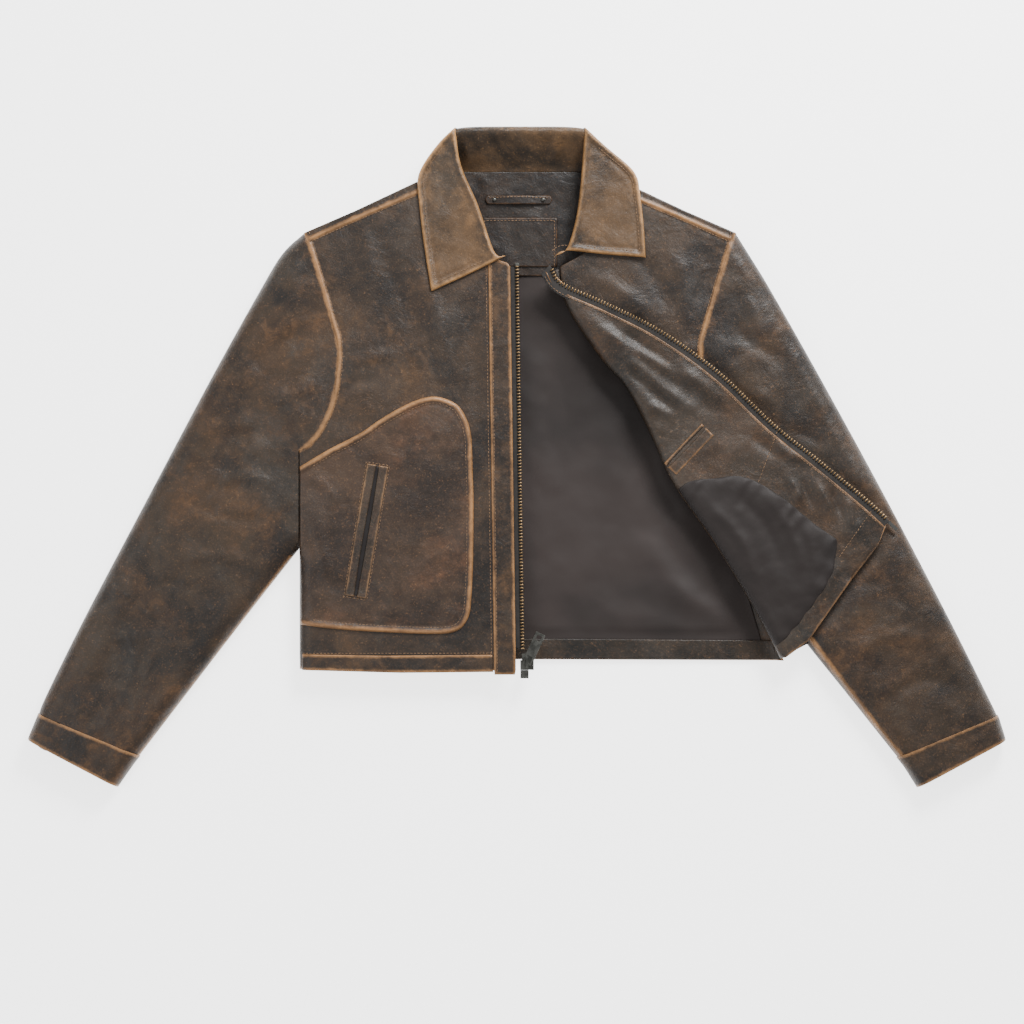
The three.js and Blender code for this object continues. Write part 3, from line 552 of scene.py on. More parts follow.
def hide(name, ring, top, stuff, thick=1.6, step=3.4, ridges=(), bead=1.2, tan=None, edge=1.2, inside=None):
    """A cut piece. top(points) is its height, tan its rubbed lines, and inside a ring that trims it."""
    points, faces = cut(ring, ridges, step)
    if inside is not None:
        points, faces = trimmed(points, faces, inside)
    if callable(thick):
        thick = thick(points)
    rim = away(points, ring, True)
    z = top(points) - round_edge(rim, edge)
    near = np.full(len(points), FAR_FROM_SEAM)
    for line in ridges:
        d = away(points, line)
        z += raised_seam(d, bead)
        near = np.minimum(near, d)
    near = np.minimum(near, rim) if tan is None else near
    for line in tan or ():
        near = np.minimum(near, away(points, line))
    n = len(points)
    upper = np.column_stack([points, z])
    lower = np.column_stack([points, np.minimum(z, top(points) - edge) - thick + edge * 0.5])
    sides = [(a, b, b + n, a + n)[::-1] for a, b in borders(faces)]
    solid = [tuple(f) for f in faces] + [tuple(f[::-1] + n) for f in faces] + sides
    return mesh_piece(name, np.vstack([upper, lower]), solid, stuff, np.r_[near, near])


# %% [markdown]
# ## The right front
# First come the lines that the cuts share: the armhole, the neck, the side seam and the straight line of the
# zip. The zip leans a little, so the placket's two lines are worked out from it.

# %% Lines of the right front
SIDE_X = 243
FRONT_LEVEL = 26.2
HEM_TOP = [(-240, 19.5), (-150, 18), (-30.5, 19)]
HEM_LOW = [(-240, 2), (-130, -1), (-29.5, 0)]
ARMHOLE = smooth([(-237.6, 483), (-228, 452), (-217, 416), (-208, 385), (-202.1, 364), (-201.5, 341),
                  (-205.8, 306), (-214, 282), (-227, 259), (-243, 244)])
NECK_POINT = (-110.0, 541.0)
SIDE = [(-SIDE_X, y) for y in (244, 136, 60, 3)]


def chain_x(y):
    """Where the zip's chain runs at height y."""
    return 2.6 - 6.0 * (np.asarray(y, float) - 24) / 420


PLACKET_RIGHT = np.array([(chain_x(y) - 7.4, y) for y in np.linspace(2, 446, 60)])
PLACKET_LEFT = PLACKET_RIGHT - [24, 0]
print("armhole of", len(ARMHOLE), "points")

# %% [markdown]
# The body leather is one level sheet with slow waves and a few creases. A cloth simulation would give waves
# too, but not where this jacket has them, so its height is a sum of named strokes.

# %% Right front panel
RIGHT_CREASES = [
    ([(-200, 330), (-170, 345), (-120, 352)], 7, 1.6),
    ([(-205, 300), (-180, 318), (-150, 322)], 6, -1.4),
    ([(-120, 470), (-95, 400), (-80, 330)], 9, 1.5),
    ([(-150, 480), (-140, 430), (-112, 380)], 10, -1.3),
    ([(-232, 180), (-215, 120), (-222, 60)], 7, 1.6),
    ([(-60, 420), (-48, 330), (-44, 250)], 8, -1.1),
    ([(-236, 120), (-200, 95), (-150, 92)], 8, -1.2),
    ([(-236, 215), (-214, 205), (-200, 180)], 6, 1.4),
    ([(-180, 505), (-165, 450), (-175, 400)], 9, 1.3),
]


def side_drop(p, d):
    """Below the crotch of the sleeve the body's edge rounds down to the floor. d is the distance inside it."""
    return 12 * (1 - arch(d, 16)) * np.clip((140 - p[:, 1]) / 22, 0, 1)


def front_z(p):
    """Height of the body leather's outer face."""
    z = FRONT_LEVEL + 1.1 * ripple(p, 90.0, 3.1) + 0.35 * ripple(p, 22.0, 9.4, 4) + folds(p, RIGHT_CREASES)
    z += 1.4 * bell(p[:, 0] + 150, 80) * bell(p[:, 1] - 360, 90)
    return np.clip(z, 23.6, 33) - side_drop(p, p[:, 0] + SIDE_X)


shoulder = [tuple(ARMHOLE[0]), (-180, 508), NECK_POINT]
RIGHT_NECK = [NECK_POINT, (-98, 530), (-70, 500), (-44, 470), (-20, 452), (chain_x(446) - 7.4, 446)]
right_ring = ring_of(ARMHOLE[::-1], shoulder, smooth(RIGHT_NECK), PLACKET_RIGHT[::-1],
                     [(-4.8, 2), (-120, 0), (-243, 3)], SIDE[::-1])
SHOULDER_SEAM = smooth([(-230, 477), (-180, 499.5), (-112, 528.5)])
right_front = hide(
    "right_front", right_ring, front_z, BODY_LEATHER, ridges=(ARMHOLE[3:-2] + [3.0, 0], SHOULDER_SEAM),
    bead=1.0, tan=(ARMHOLE, [(-4.8, 1), (-243, 3)]))
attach(right_front, "torso")
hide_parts("right_front_panel")

# %% [markdown]
# The placket and the hem band are separate cuts that lie on the front. They use the front's own height plus
# their thickness, so they follow every wave of it and never cut through.

# %% Placket and hem band
placket_ring = ring_of(
    PLACKET_LEFT, [PLACKET_LEFT[-1], (-36, 458), (-14, 450), PLACKET_RIGHT[-1]], PLACKET_RIGHT[::-1],
    [PLACKET_RIGHT[0], (-5.6, -3), (-28, -3), PLACKET_LEFT[0]]
)
placket = hide(
    "placket", placket_ring, lambda p: front_z(p) + 1.3 + 0.25 * ripple(p, 9.0, 4.4), BODY_LEATHER, 1.4, 3.0,
    edge=1.1)
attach(placket, "torso")
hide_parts("right_placket")

hem_ring = ring_of(HEM_TOP, [HEM_TOP[-1], HEM_LOW[-1]], HEM_LOW[::-1], [HEM_LOW[0], HEM_TOP[0]])
hem_band = hide("hem_band", hem_ring, lambda p: front_z(p) + 1.1, BODY_LEATHER, 1.2, 3.0,
                tan=(HEM_LOW, HEM_TOP), edge=0.9)
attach(hem_band, "torso")
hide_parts("right_hem_band")

# %% [markdown]
# The pocket panel is a second layer over the body, with a wide piped border. Its edge line is drawn once:
# the same line cuts the outline, raises the piping, rubs it tan and later carries the stitches. Around the
# welt mouth the leather is pressed down.

# %% Pocket panel
upper = smooth([(-242, 226), (-210, 245), (-177, 262), (-155, 277), (-133, 290), (-112, 299.5), (-94, 303),
                (-78, 299), (-66, 291), (-57, 274), (-53, 256)])
lower = smooth([(-53, 88), (-55, 66), (-60, 54), (-68, 46), (-86, 42), (-133, 43), (-200, 47), (-242, 52)])
front_edge = [(-53, 256), (-51, 190), (-51.5, 120), (-53, 88)]
pocket_ring = ring_of(upper, front_edge, lower, [(-242, 52), (-242, 226)])
POCKET_EDGE = np.vstack([upper, spaced(front_edge, 8), lower])
WELT_LEAN = math.radians(-9.6)
WELT_AXIS = np.array([-math.sin(WELT_LEAN), math.cos(WELT_LEAN)])
WELT_MID = np.array([-169.0, 155.0])
welt_line = [tuple(WELT_MID + WELT_AXIS * s) for s in (-74, -30, 30, 74)]


def pocket_z(p):
    """Height of the pocket panel's outer face."""
    rim = away(p, POCKET_EDGE)
    mouth = away(p, spaced(welt_line, 8))
    z = front_z(p) + 1.7 + 0.5 * ripple(p, 34.0, 7.7) + 0.20 * ripple(p, 11.0, 2.2)
    return z + 1.9 * bell(rim - 3.4, 2.3) - 0.8 * bell(rim - 8.0, 1.7) - bell(mouth, 12.0)


pocket = hide("pocket_panel", pocket_ring, pocket_z, POCKET_LEATHER, 1.6, 3.0, tan=(POCKET_EDGE,), edge=1.5)
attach(pocket, "torso")
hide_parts("right_pocket_panel", "right_pocket_rim")


# %% [markdown]
# The welt mouth is a slit with two rolled lips, framed by stitching. The lips are cut as narrow bars whose
# height rises to a roll beside the slit. A near-black strip under them is painted shadow: it stands in for
# the shade inside the pocket's mouth and closes the view into it.


# %% Welt mouth
def welt_lip(name, mid, axis, near, far, half, height, stuff, lift=1.5, slack=0.0):
    """One rolled lip of a welt mouth, from near to far off the slit."""
    side = np.array([axis[1], -axis[0]])
    corners = [mid + axis * s + side * o for s, o in
               ((-half, near), (-half, far), (half, far), (half, near))]
    bow = [mid + axis * s + side * (near + slack * (1 - (s / half) ** 2)) for s in np.linspace(half, -half, 9)]
    ring = ring_of([corners[0], corners[1]], [corners[1], corners[2]], [corners[2], corners[3]], bow, step=1.8)

    def top(p):
        off = np.abs((p - mid) @ side)
        return height(p) + lift * (0.55 + 0.45 * bell(off - abs(near) - 2.2, 2.2))

    return hide(name, ring, top, stuff, 1.3, 2.4, edge=1.0, tan=(corners,))


def welt_frame(along_by_across):
    """Points beside the welt mouth, each (distance along it, distance across it)."""
    across = np.array([WELT_AXIS[1], -WELT_AXIS[0]])
    return [WELT_MID + WELT_AXIS * a + across * b for a, b in along_by_across]


WELT_LEATHER = leather(
    "welt_leather", dark=(0.010, 0.007, 0.005), brown=(0.040, 0.027, 0.017), rust=(0.066, 0.034, 0.018),
    cool=(0.060, 0.052, 0.045), tan=(0.390, 0.215, 0.100), rust_share=0.3, wear=1.0, tan_wide=1.2)
slit_corners = welt_frame([(-72, -3), (72, -3), (72, 3), (-72, 3)])
slit_sides = [[slit_corners[i], slit_corners[(i + 1) % 4]] for i in range(4)]
# Painted shadow: a near-black satin strip stands in for the shade inside the slit.
slit = hide("welt_slit", ring_of(*slit_sides), lambda p: pocket_z(p) + 0.25, SHADED_SATIN, 0.4, 2.4, edge=0.2)
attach(slit, "torso")
for name, node, near, far, slack in (("welt_lip_outer", "right_welt_lip_outer", -1.3, -11.5, -0.8),
                                     ("welt_lip_inner", "right_welt_lip_inner", 1.5, 12.0, 0.9)):
    lip = welt_lip(name, WELT_MID, WELT_AXIS, near, far, 73.5, pocket_z, WELT_LEATHER, 1.9, slack)
    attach(lip, "torso")
    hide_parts(node)
print("right front made")

# %% [markdown]
# ## Sleeves
# A sleeve is a flattened tube. Its top and under sides meet along two rounded edges, and both ends stay
# open. A cylinder squashed flat would lose the drawn outline, so the outline is cut once and lifted twice, to
# a top and an under side that share their points along the two edges.


# %% Tubes
def tube(name, ring, sides, top, low, stuff, middle=13.0, turn=20.0, thick=1.6, tan=(), ridges=(), bead=1.0):
    """A flattened tube over a ring: open except along the side lines."""
    points, faces = cut(ring, ridges, 3.8, rows=(0.25, 0.9, 2.0, 3.6, 6.0))
    d = np.min([away(points, line) for line in sides], axis=0)
    share, under = arch(d, turn), arch(d, 0.7 * turn)
    z_top = middle + (top(points) - middle) * share
    z_low = middle - (middle - low(points)) * under
    near = np.full(len(points), FAR_FROM_SEAM)
    for line in ridges:
        gap = away(points, line)
        z_top += raised_seam(gap, bead) * share
        near = np.minimum(near, gap)
    for line in tan:
        near = np.minimum(near, away(points, line))
    n = len(points)
    joined = (d < 0.4) & (away(points, ring, True) < 0.02)
    z_top[joined] = z_low[joined] = middle
    other = np.where(joined, np.arange(n), np.arange(n) + n)
    outer = np.vstack([np.column_stack([points, z_top]), np.column_stack([points, z_low])])
    skin = np.vstack([faces, other[faces][:, ::-1]])
    a, b, c = (outer[skin[:, k]] for k in range(3))
    normals = np.zeros_like(outer)
    for k in range(3):
        np.add.at(normals, skin[:, k], np.cross(b - a, c - a))
    normals /= np.linalg.norm(normals, axis=1)[:, None] + 1e-9
    inner = outer - thick * normals
    m = len(outer)
    solid = [tuple(f) for f in skin] + [tuple(f[::-1] + m) for f in skin]
    solid += [(b, a, a + m, b + m) for a, b in borders(skin)]
    every = np.vstack([outer, inner])
    used, index = np.unique(np.concatenate([np.array(f) for f in solid]), return_inverse=True)
    cuts = np.cumsum([len(f) for f in solid])[:-1]
    solid = [tuple(int(i) for i in f) for f in np.split(index, cuts)]
    seam = np.r_[near, np.full(n, FAR_FROM_SEAM)]
    return mesh_piece(name, every[used], solid, stuff, np.r_[seam, seam][used])


# %% [markdown]
# The leather, the cuff and the lining are three tubes inside one another, and both sleeves come from one
# function. The left sleeve is pressed down where the turned-back front lies on it.

# %% Lines of the sleeves and of the fold
SLEEVE_CREASES = [
    ([(236, 440), (256, 400), (268, 350)], 9, 1.8),
    ([(222, 380), (262, 360), (300, 330)], 9, -1.8),
    ([(216, 330), (250, 305), (290, 300)], 8, 2.2),
    ([(250, 250), (296, 262), (345, 250)], 9, -1.9),
    ([(262, 205), (310, 215), (365, 205)], 8, 2.2),
    ([(262, 170), (310, 168), (372, 190)], 7, -1.6),
    ([(275, 110), (330, 128), (390, 120)], 8, 1.8),
    ([(320, 70), (372, 96), (420, 96)], 8, -1.6),
    ([(352, 10), (400, 40), (455, 36)], 8, 1.5),
    ([(392, -40), (440, -10), (490, -16)], 7, -1.3),
    ([(300, 350), (350, 260), (400, 170)], 11, 1.5),
    ([(420, 110), (460, 30), (490, -20)], 9, 1.2),
]
FOLD = smooth([(36, 441), (56, 393), (91, 342), (117, 312), (145, 258), (168, 208), (216, 138), (258, 68),
               (286, 15)])
TEETH = smooth([(34, 448), (47, 428), (95, 406), (156, 375), (219, 330), (279, 273), (334, 229), (381, 190),
                (406, 167)])
FLAP_HEM = [(395, 142), (364, 102), (317, 35), (290, 15)]
FLAP_AREA = np.vstack([TEETH, FLAP_HEM, FOLD[::-1]])


def below_flap(p, z):
    """The left sleeve is pressed down where the turned front lies on it."""
    inside = within(p, FLAP_AREA)
    d = away(p, FLAP_AREA, True)
    t = np.clip(np.where(inside, d, -d) / 16 + 1.0, 0, 1)
    return z + (np.minimum(z, 25.2) - z) * t * t * (3 - 2 * t)


def unpressed(p, z):
    """Nothing lies on the right sleeve."""
    return z


print(len(SLEEVE_CREASES), "creases on each sleeve")

# %% [markdown]
# The function is written for the left side and flips x for the right. The two arms don't lie quite alike, so
# their outer and inner lines are drawn separately. The cuff is a short tube over the end, a little wider, and
# the lining is a thinner tube inside that stops 3 mm short of the cuff's mouth.


# %% One sleeve
BEND_FROM, BEND_TO = 200.0, 330.0
SLEEVE_LEVEL = 27.4


def sleeve(side, name, top_limit):
    """All the soft parts of one sleeve. side is -1 for the right, 1 for the left."""
    flip = np.array([side, 1.0])
    out_edge = smooth([(237.6, 484), (262, 461), (287, 420), (342, 321), (412, 189), (480, 60), (522, -25),
                       (531.7, -49)])
    in_edge = smooth([(243, 136), (255, 121), (305, 57), (368, -25), (427, -102)])
    side_edge = np.array([(243.5, 246.0), (243.5, 136.0)])
    head = ARMHOLE * [-1, 1] - [2.5, 0]
    if side > 0:
        out_edge = smooth([(237.6, 484), (257, 453), (277, 420), (333, 321), (405, 189), (474, 57), (515, -25),
                           (527.6, -51)])
        in_edge = smooth([(243, 136), (255, 121), (300, 52), (361, -25), (424, -104)])
    out_edge, in_edge, side_edge, head = (line * flip for line in (out_edge, in_edge, side_edge, head))
    seed = 11.3 + side

    def top(p):
        q = p * flip
        z = SLEEVE_LEVEL + 1.3 * ripple(p, 60.0, seed) + 0.45 * ripple(p, 17.0, seed + 3, 4)
        z = z + folds(q, SLEEVE_CREASES)
        return top_limit(p, np.clip(z, 22, 31.5))

    def low(p):
        return 0.6 + 0.5 * np.abs(ripple(p, 60.0, seed + 8))

    seam = smooth([(247, 126), (299, 57), (361, -25), (422, -103)]) * flip + np.array([side * 5.5, 0])
    cuff_seam = np.array([out_edge[-1], in_edge[-1]])
    ring = ring_of(out_edge, cuff_seam, in_edge[::-1], side_edge[::-1], head[::-1],
                   [head[0], out_edge[0]])
    shell = tube(f"{name}_leather", ring, (out_edge, in_edge), top, low, SLEEVE_LEATHER,
                 ridges=(seam,), tan=(head, cuff_seam), bead=1.1)
    end = np.array([(543, -74.5), (443.5, -127)] if side < 0 else [(536, -75), (438, -127.6)]) * flip
    over = np.array([side * 0.9, 0.5])
    cuff_out = np.array([out_edge[-2] + over, out_edge[-1] + over, end[0] + over * 0.2])
    cuff_in = np.array([in_edge[-2] - over, in_edge[-1] - over, end[1] - over * 0.2])
    cuff_ring = ring_of(cuff_out, end, cuff_in[::-1], [cuff_in[0], cuff_out[0]])
    cuff = tube(f"{name}_cuff", cuff_ring, (cuff_out, cuff_in), lambda p: top(p) + 1.1, lambda p: low(p) - 0.4,
                SLEEVE_LEATHER, turn=17.0, thick=1.8, tan=(end, [cuff_in[0], cuff_out[0]]), bead=0.8)
    slack = np.array([side * 2.6, 0])
    slim_out, slim_in, slim_side = out_edge - slack, in_edge + slack, side_edge + slack
    end_out, end_in = (end[n] * 0.985 + end[1 - n] * 0.015 + [0, 3.0] for n in (0, 1))
    ring = ring_of(slim_out, [slim_out[-1], end_out], [end_out, end_in], [end_in, slim_in[-1]],
                   slim_in[::-1], slim_side[::-1], head[::-1], [head[0], slim_out[0]])
    slim_sides = (np.vstack([slim_out, end_out]), np.vstack([slim_in, end_in]))
    lining = tube(f"{name}_lining", ring, slim_sides, lambda p: top(p) - 2.4, lambda p: low(p) + 2.2,
                  SLEEVE_SATIN, turn=16.0, thick=0.5)
    for piece in (shell, cuff, lining):
        at(side * BEND_FROM, 360, 15)
        at(side * BEND_TO, 360, 15)
        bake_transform(piece)
    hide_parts(f"{name}_top_sleeve", f"{name}_under_sleeve")
    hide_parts(f"{name}_cuff_band")
    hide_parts(f"{name}_sleeve_lining")
    return shell, cuff, lining


sleeve(-1, "right", unpressed)
sleeve(1, "left", below_flap)
print("sleeves made")


# %% [markdown]
# ## The turned-back left front
# What shows is its inner face: a leather facing all round, with the satin lining gathered into it. Its long
# creases run away from the neck, where the leather is pulled over. At the fold the height rounds down, as
# thick leather does instead of creasing sharply.

# %% Facing of the turned-back front
ROLL_FOOT, ROLL_TOP = 22.6, 28.6
FLAP_LEVEL = 35.6
FACING_EDGE = beside(TEETH, -9.0)
FLAP_CREASES = [
    ([(60, 398), (69, 389), (132, 354), (198, 316), (232, 290)], 8, 3.8),
    ([(96, 388), (112, 372), (160, 341), (190, 318)], 6, -3.4),
    ([(84, 372), (100, 362), (155, 312), (214, 272)], 8, 3.2),
    ([(112, 336), (140, 314), (172, 286)], 6, -2.8),
    ([(132, 292), (150, 290), (176, 276)], 6, 2.2),
    ([(236, 330), (262, 300), (270, 268)], 7, 1.8),
    ([(250, 262), (272, 246), (290, 240)], 6, -2.2),
    ([(272, 256), (296, 240), (322, 232)], 6, 2.8),
    ([(292, 218), (303, 200), (312, 182)], 4, 2.6),
    ([(306, 214), (315, 196), (325, 176)], 4, -2.6),
    ([(322, 212), (333, 195), (344, 172)], 4, 2.8),
    ([(338, 204), (347, 188), (354, 168)], 4, -2.4),
    ([(356, 196), (362, 178), (364, 156)], 5, 2.6),
    ([(352, 130), (340, 104), (324, 76)], 7, 1.8),
]


def flap_z(p):
    """Height of the facing on the turned-back front."""
    z = FLAP_LEVEL + 1.4 * ripple(p, 70.0, 21.7) + 0.5 * ripple(p, 20.0, 5.9, 4)
    return np.clip(z + 0.95 * folds(p, FLAP_CREASES), 32.4, 43.0)


def flap_edge_z(p):
    """The same, rolled over along the fold."""
    return ROLL_TOP + (flap_z(p) - ROLL_TOP) * arch(away(p, FOLD), 9.0)


def flap_blend(piece):
    """Bake the piece's place into its mesh."""
    at(0, 0, ROLL_FOOT)
    at(0, 0, 31.0)
    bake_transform(piece)


flap_ring = ring_of(FACING_EDGE[2:], [FACING_EDGE[-1], (392, 137)], FLAP_HEM[1:], FOLD[::-1][:-2],
                    [FOLD[2], FACING_EDGE[2]])
facing = hide("front_facing", flap_ring, flap_edge_z, FACING_LEATHER, 1.2, 3.2,
              tan=(FACING_EDGE, FLAP_HEM), edge=0.6)
flap_blend(facing)
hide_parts("left_front_facing", "left_hem_facing")

# %% [markdown]
# Under the facing lies the front's outer leather, face down on the sleeve, with its own pocket panel. That
# panel is the right one in mirror image. It is turned over about the line of the fold, as the cloth itself
# was, and trimmed to what the leather covers.

# %% Outer leather and its pocket
outer_edge, fold_edge = beside(TEETH, -5.0), beside(FOLD, 7.0)
outer_ring = ring_of(outer_edge[2:], [outer_edge[-1], (393, 139)], FLAP_HEM[1:], fold_edge[::-1][:-3],
                     [fold_edge[3], outer_edge[2]])
outer = hide("turned_front", outer_ring, lambda p: flap_z(p) - 2.0, BODY_LEATHER, 1.5, 4.5, edge=0.6)
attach(outer, "left_front")
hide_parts("left_front_panel")

FOLD_POINT, FOLD_WAY = np.array([29.0, 445.5]), np.array([0.4454, -0.8953])


def turned_over(p):
    """A point of the closed left front, where it lies once turned back."""
    rel = np.asarray(p, float) - FOLD_POINT
    return FOLD_POINT + 2 * (rel @ FOLD_WAY)[:, None] * FOLD_WAY - rel


CLOSED_SHIFT = [28, 0]
left_pocket_edge = turned_over(POCKET_EDGE * [-1, 1] + CLOSED_SHIFT)
left_pocket_ring = turned_over(pocket_ring * [-1, 1] + CLOSED_SHIFT)
left_pocket = hide(
    "turned_pocket", left_pocket_ring, lambda p: flap_z(p) - 3.7, POCKET_LEATHER,
    lambda p: 1.3 + 1.5 * bell(away(p, left_pocket_edge) - 3.4, 2.3), 3.6,
    tan=(left_pocket_edge,), edge=0.5, inside=outer_ring)
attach(left_pocket, "left_front")
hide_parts("left_pocket_panel")

# %% [markdown]
# The satin is set into the facing with small gathers along its seam. They are sine waves along the edge that
# die out inwards, over a soft puff, and a few long folds cross them.

# %% Satin of the turned-back front
PATCH_TOP = smooth([(177, 204), (184, 209), (197, 212), (216, 213.5), (237, 216), (259, 210), (292, 189),
                    (321, 165), (349, 146)])
PATCH_SIDE = smooth([(349, 146), (342, 107), (320, 72), (296, 42), (279, 27)])
patch_fold = beside(FOLD, 0.8)
patch_fold = patch_fold[(patch_fold[:, 1] < 203) & (patch_fold[:, 1] > 27)]
patch_ring = ring_of(PATCH_TOP, PATCH_SIDE, patch_fold[::-1], [patch_fold[0], PATCH_TOP[0]])


PATCH_FOLDS = [
    ([(190, 195), (240, 150), (262, 90)], 7, 1.9),
    ([(230, 200), (270, 160), (290, 100)], 7, -1.7),
    ([(265, 200), (300, 150), (312, 90)], 6, 1.6),
    ([(200, 172), (225, 130), (262, 80)], 6, -1.4),
    ([(310, 165), (322, 130), (318, 90)], 6, 1.2),
]


def patch_z(p):
    """Height of the gathered satin."""
    top_line, side_line = away(p, PATCH_TOP), away(p, PATCH_SIDE)
    border = np.minimum(top_line, side_line)
    run = p @ np.array([0.86, -0.51])
    gather = np.sin(run / 3.1 + 1.4 * np.sin(run / 9.0))
    gather *= np.exp(-top_line / 16.0) * np.minimum(1, top_line / 3.0)
    gather += 0.8 * np.sin((p @ np.array([0.45, 0.89])) / 3.6) * np.exp(-side_line / 12.0)
    puff = 1.7 * (1 - np.exp(-border / 7.0)) - 0.9 * np.exp(-border / 2.5)
    inward = away(p, FOLD)
    z = flap_edge_z(p) + 0.9 + puff * np.clip(inward / 12.0, 0, 1) + 0.8 * gather
    return z + folds(p, PATCH_FOLDS) * np.clip(inward / 20.0, 0, 1)


# The gathered satin takes the darkened copy, painted shade that keeps it as dark as the lining inside the
# jacket.
patch = hide("front_lining", patch_ring, patch_z, SHADED_SATIN, 0.5, 2.6, edge=0.4)
flap_blend(patch)
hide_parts("left_front_lining", "left_pocket_bag")

# %% [markdown]
# From the fold's outer line the cloth turns under and lies inside the jacket. This strip is woven row by row:
# a quarter circle down, then three level rows. With it the front's three sheets are complete.

# %% Roll at the fold
rows = []
fold_line = spaced(FOLD, 4.0)
inward = beside(fold_line, 1.0) - fold_line
for a in np.linspace(0, math.pi / 2, 7):
    rows.append(level(fold_line + inward * (7.0 * (1 - math.cos(a))), ROLL_TOP - 6.0 * math.sin(a)))
for off in (14.0, 24.0, 36.0):
    rows.append(level(fold_line + inward * off, ROLL_TOP - 6.0 + 0.02 * off))
strip = np.vstack(rows)
roll = mesh_piece("front_roll", strip, woven(len(rows), len(fold_line)), FACING_LEATHER,
                  np.full(len(strip), FAR_FROM_SEAM))
flap_blend(roll)
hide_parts("left_yoke_lining")
# %% [markdown]
# The inner pocket's welt is smaller: one broad lip and one thin one, leaning the other way.

# %% Inner welt
INNER_MID = np.array([183.0, 247.0])
INNER_LEAN = math.radians(-43.6)
INNER_AXIS = np.array([-math.sin(INNER_LEAN), math.cos(INNER_LEAN)])
for name, node, near, far, slack, area in (("inner_lip_a", "inner_welt_lip_lower", -2.2, -6.0, -0.4, 0.00024),
                                           ("inner_lip_b", "inner_welt_lip_upper", 0.2, 12.5, 0.6, 0.00073)):
    lip = welt_lip(name, INNER_MID, INNER_AXIS, near, far, 30.0, flap_z, FACING_LEATHER, 1.5, slack)
    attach(lip, "left_front")
    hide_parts(node)

# %% [markdown]
# ## The left side that stays down
# Under the turned front a shoulder yoke stays in place. It carries the left armhole. It is a hide like the
# right front, but it sinks lower along the fold, where the turned front lies on it.

# %% Yoke
LEFT_ARM = ARMHOLE * [-1, 1]
LEFT_NECK = smooth([(110, 541), (104, 520), (92, 488), (70, 462), (44, 446)])
left_shoulder = [(110, 541), (180, 508), (237.6, 483)]
YOKE_CREASES = [
    ([(60, 440), (110, 420), (160, 380)], 8, 1.6),
    ([(120, 470), (150, 430), (170, 390)], 9, -1.7),
    ([(160, 480), (180, 430), (185, 370)], 9, 1.7),
    ([(200, 360), (170, 352), (140, 360)], 6, 1.4),
    ([(215, 470), (205, 430), (195, 400)], 7, -1.3),
]


def yoke_z(p):
    """Height of the yoke's outer face."""
    z = 26.0 + 1.0 * ripple(p, 80.0, 33.1) + 0.4 * ripple(p, 20.0, 2.8, 4) + folds(p, YOKE_CREASES)
    z = np.clip(z, 23.6, 30.0)
    edge = np.minimum(away(p, FOLD), 40)
    z = np.where(edge < 40, np.minimum(z, 25.0 + 5 * edge / 40), z)
    side = away(p, np.array([(243, 250), (243, 136), (291, 12)]))
    return z - side_drop(p, side)


fold_in = beside(FOLD, 4.0)
yoke_ring = ring_of(left_shoulder, LEFT_ARM, [(243, 244), (243, 136), (281, 20)], [(281, 20), fold_in[-4]],
                    fold_in[::-1][3:-2], [fold_in[2], LEFT_NECK[-1]], LEFT_NECK[::-1])
yoke = hide(
    "front_yoke", yoke_ring, yoke_z, BODY_LEATHER, ridges=(LEFT_ARM[3:-2] - [3.0, 0], SHOULDER_SEAM * [-1, 1]),
    bead=1.0, tan=(LEFT_ARM,))
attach(yoke, "torso")
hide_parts("left_front_yoke")
print("left side made")


# %% [markdown]
# ## Collar
# Two pointed leaves lie open. Each is two layers of leather with a padded rim, and rises towards the line
# where it rolls out of the neck. The leaf's surface without its rim is a height of its own, because the
# stitches lie on it later.

# %% Collar leaves
LEAF_LEVEL = 30.6
RIGHT_SEED, LEFT_SEED = 41.0, 47.0


def leaf_z(p, seed):
    """Height of a leaf's flat part."""
    return LEAF_LEVEL + 0.9 * ripple(p, 50.0, seed) + 0.3 * ripple(p, 13.0, seed + 5, 4)


def leaf(name, rim, roll_line, nodes, body, seed):
    """One collar leaf cut to its rim."""
    ring = ring_of(*rim)
    outline = np.vstack([spaced(line, 6) for line in rim])

    def top(p):
        edge = away(p, outline)
        d_roll = away(p, roll_line)
        z = leaf_z(p, seed) + 1.7 * bell(edge - 3.0, 2.6) - 0.7 * bell(edge - 8.0, 1.8)
        z += 2.6 * bell(d_roll, 14.0)
        return z - 3.0 * (1 - arch(d_roll, 7.0))

    made = hide(name, ring, top, COLLAR_LEATHER, 3.0, 2.8, tan=rim, edge=1.6)
    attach(made, body)
    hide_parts(*nodes)
    return made


right_roll = smooth([(-71, 599), (-65, 558), (-46, 513), (-28, 462), (-15.4, 457.6)])
right_rim = (
    smooth([(-71, 599), (-88, 583), (-104.5, 561), (-112, 545), (-112.5, 530)]),
    smooth([(-112.5, 530), (-107, 480), (-98.5, 424), (-97, 418.5)]),
    smooth([(-97, 418.5), (-55, 438), (-15.4, 457.6)]),
    right_roll[::-1],
)
right_leaf = leaf("right_leaf", right_rim, right_roll[:-8], ("right_collar_leaf",), "right_collar", RIGHT_SEED)
left_roll = smooth([(71, 599), (68.2, 556), (62.6, 505), (51.6, 466), (37, 456.5)])
left_rim = (
    smooth([(71, 599), (94, 578), (120, 556), (129, 543), (131.5, 530)]),
    smooth([(131.5, 530), (136, 490), (138, 455.6)]),
    smooth([(138, 455.6), (95, 459), (50.6, 463), (37, 456.5)]),
    left_roll[::-1],
)
left_leaf = leaf("left_leaf", left_rim, left_roll[:-8], ("left_collar_leaf",), "left_collar", LEFT_SEED)

# %% [markdown]
# Behind the neck the collar stands up and rolls over its top edge. Stand and fall are one band of leather, so
# they are woven as one: up inside the neck, over the roll and down outside. Small pleats gather it where the
# neck turns. Two narrow skirts close the fall beside the leaves.

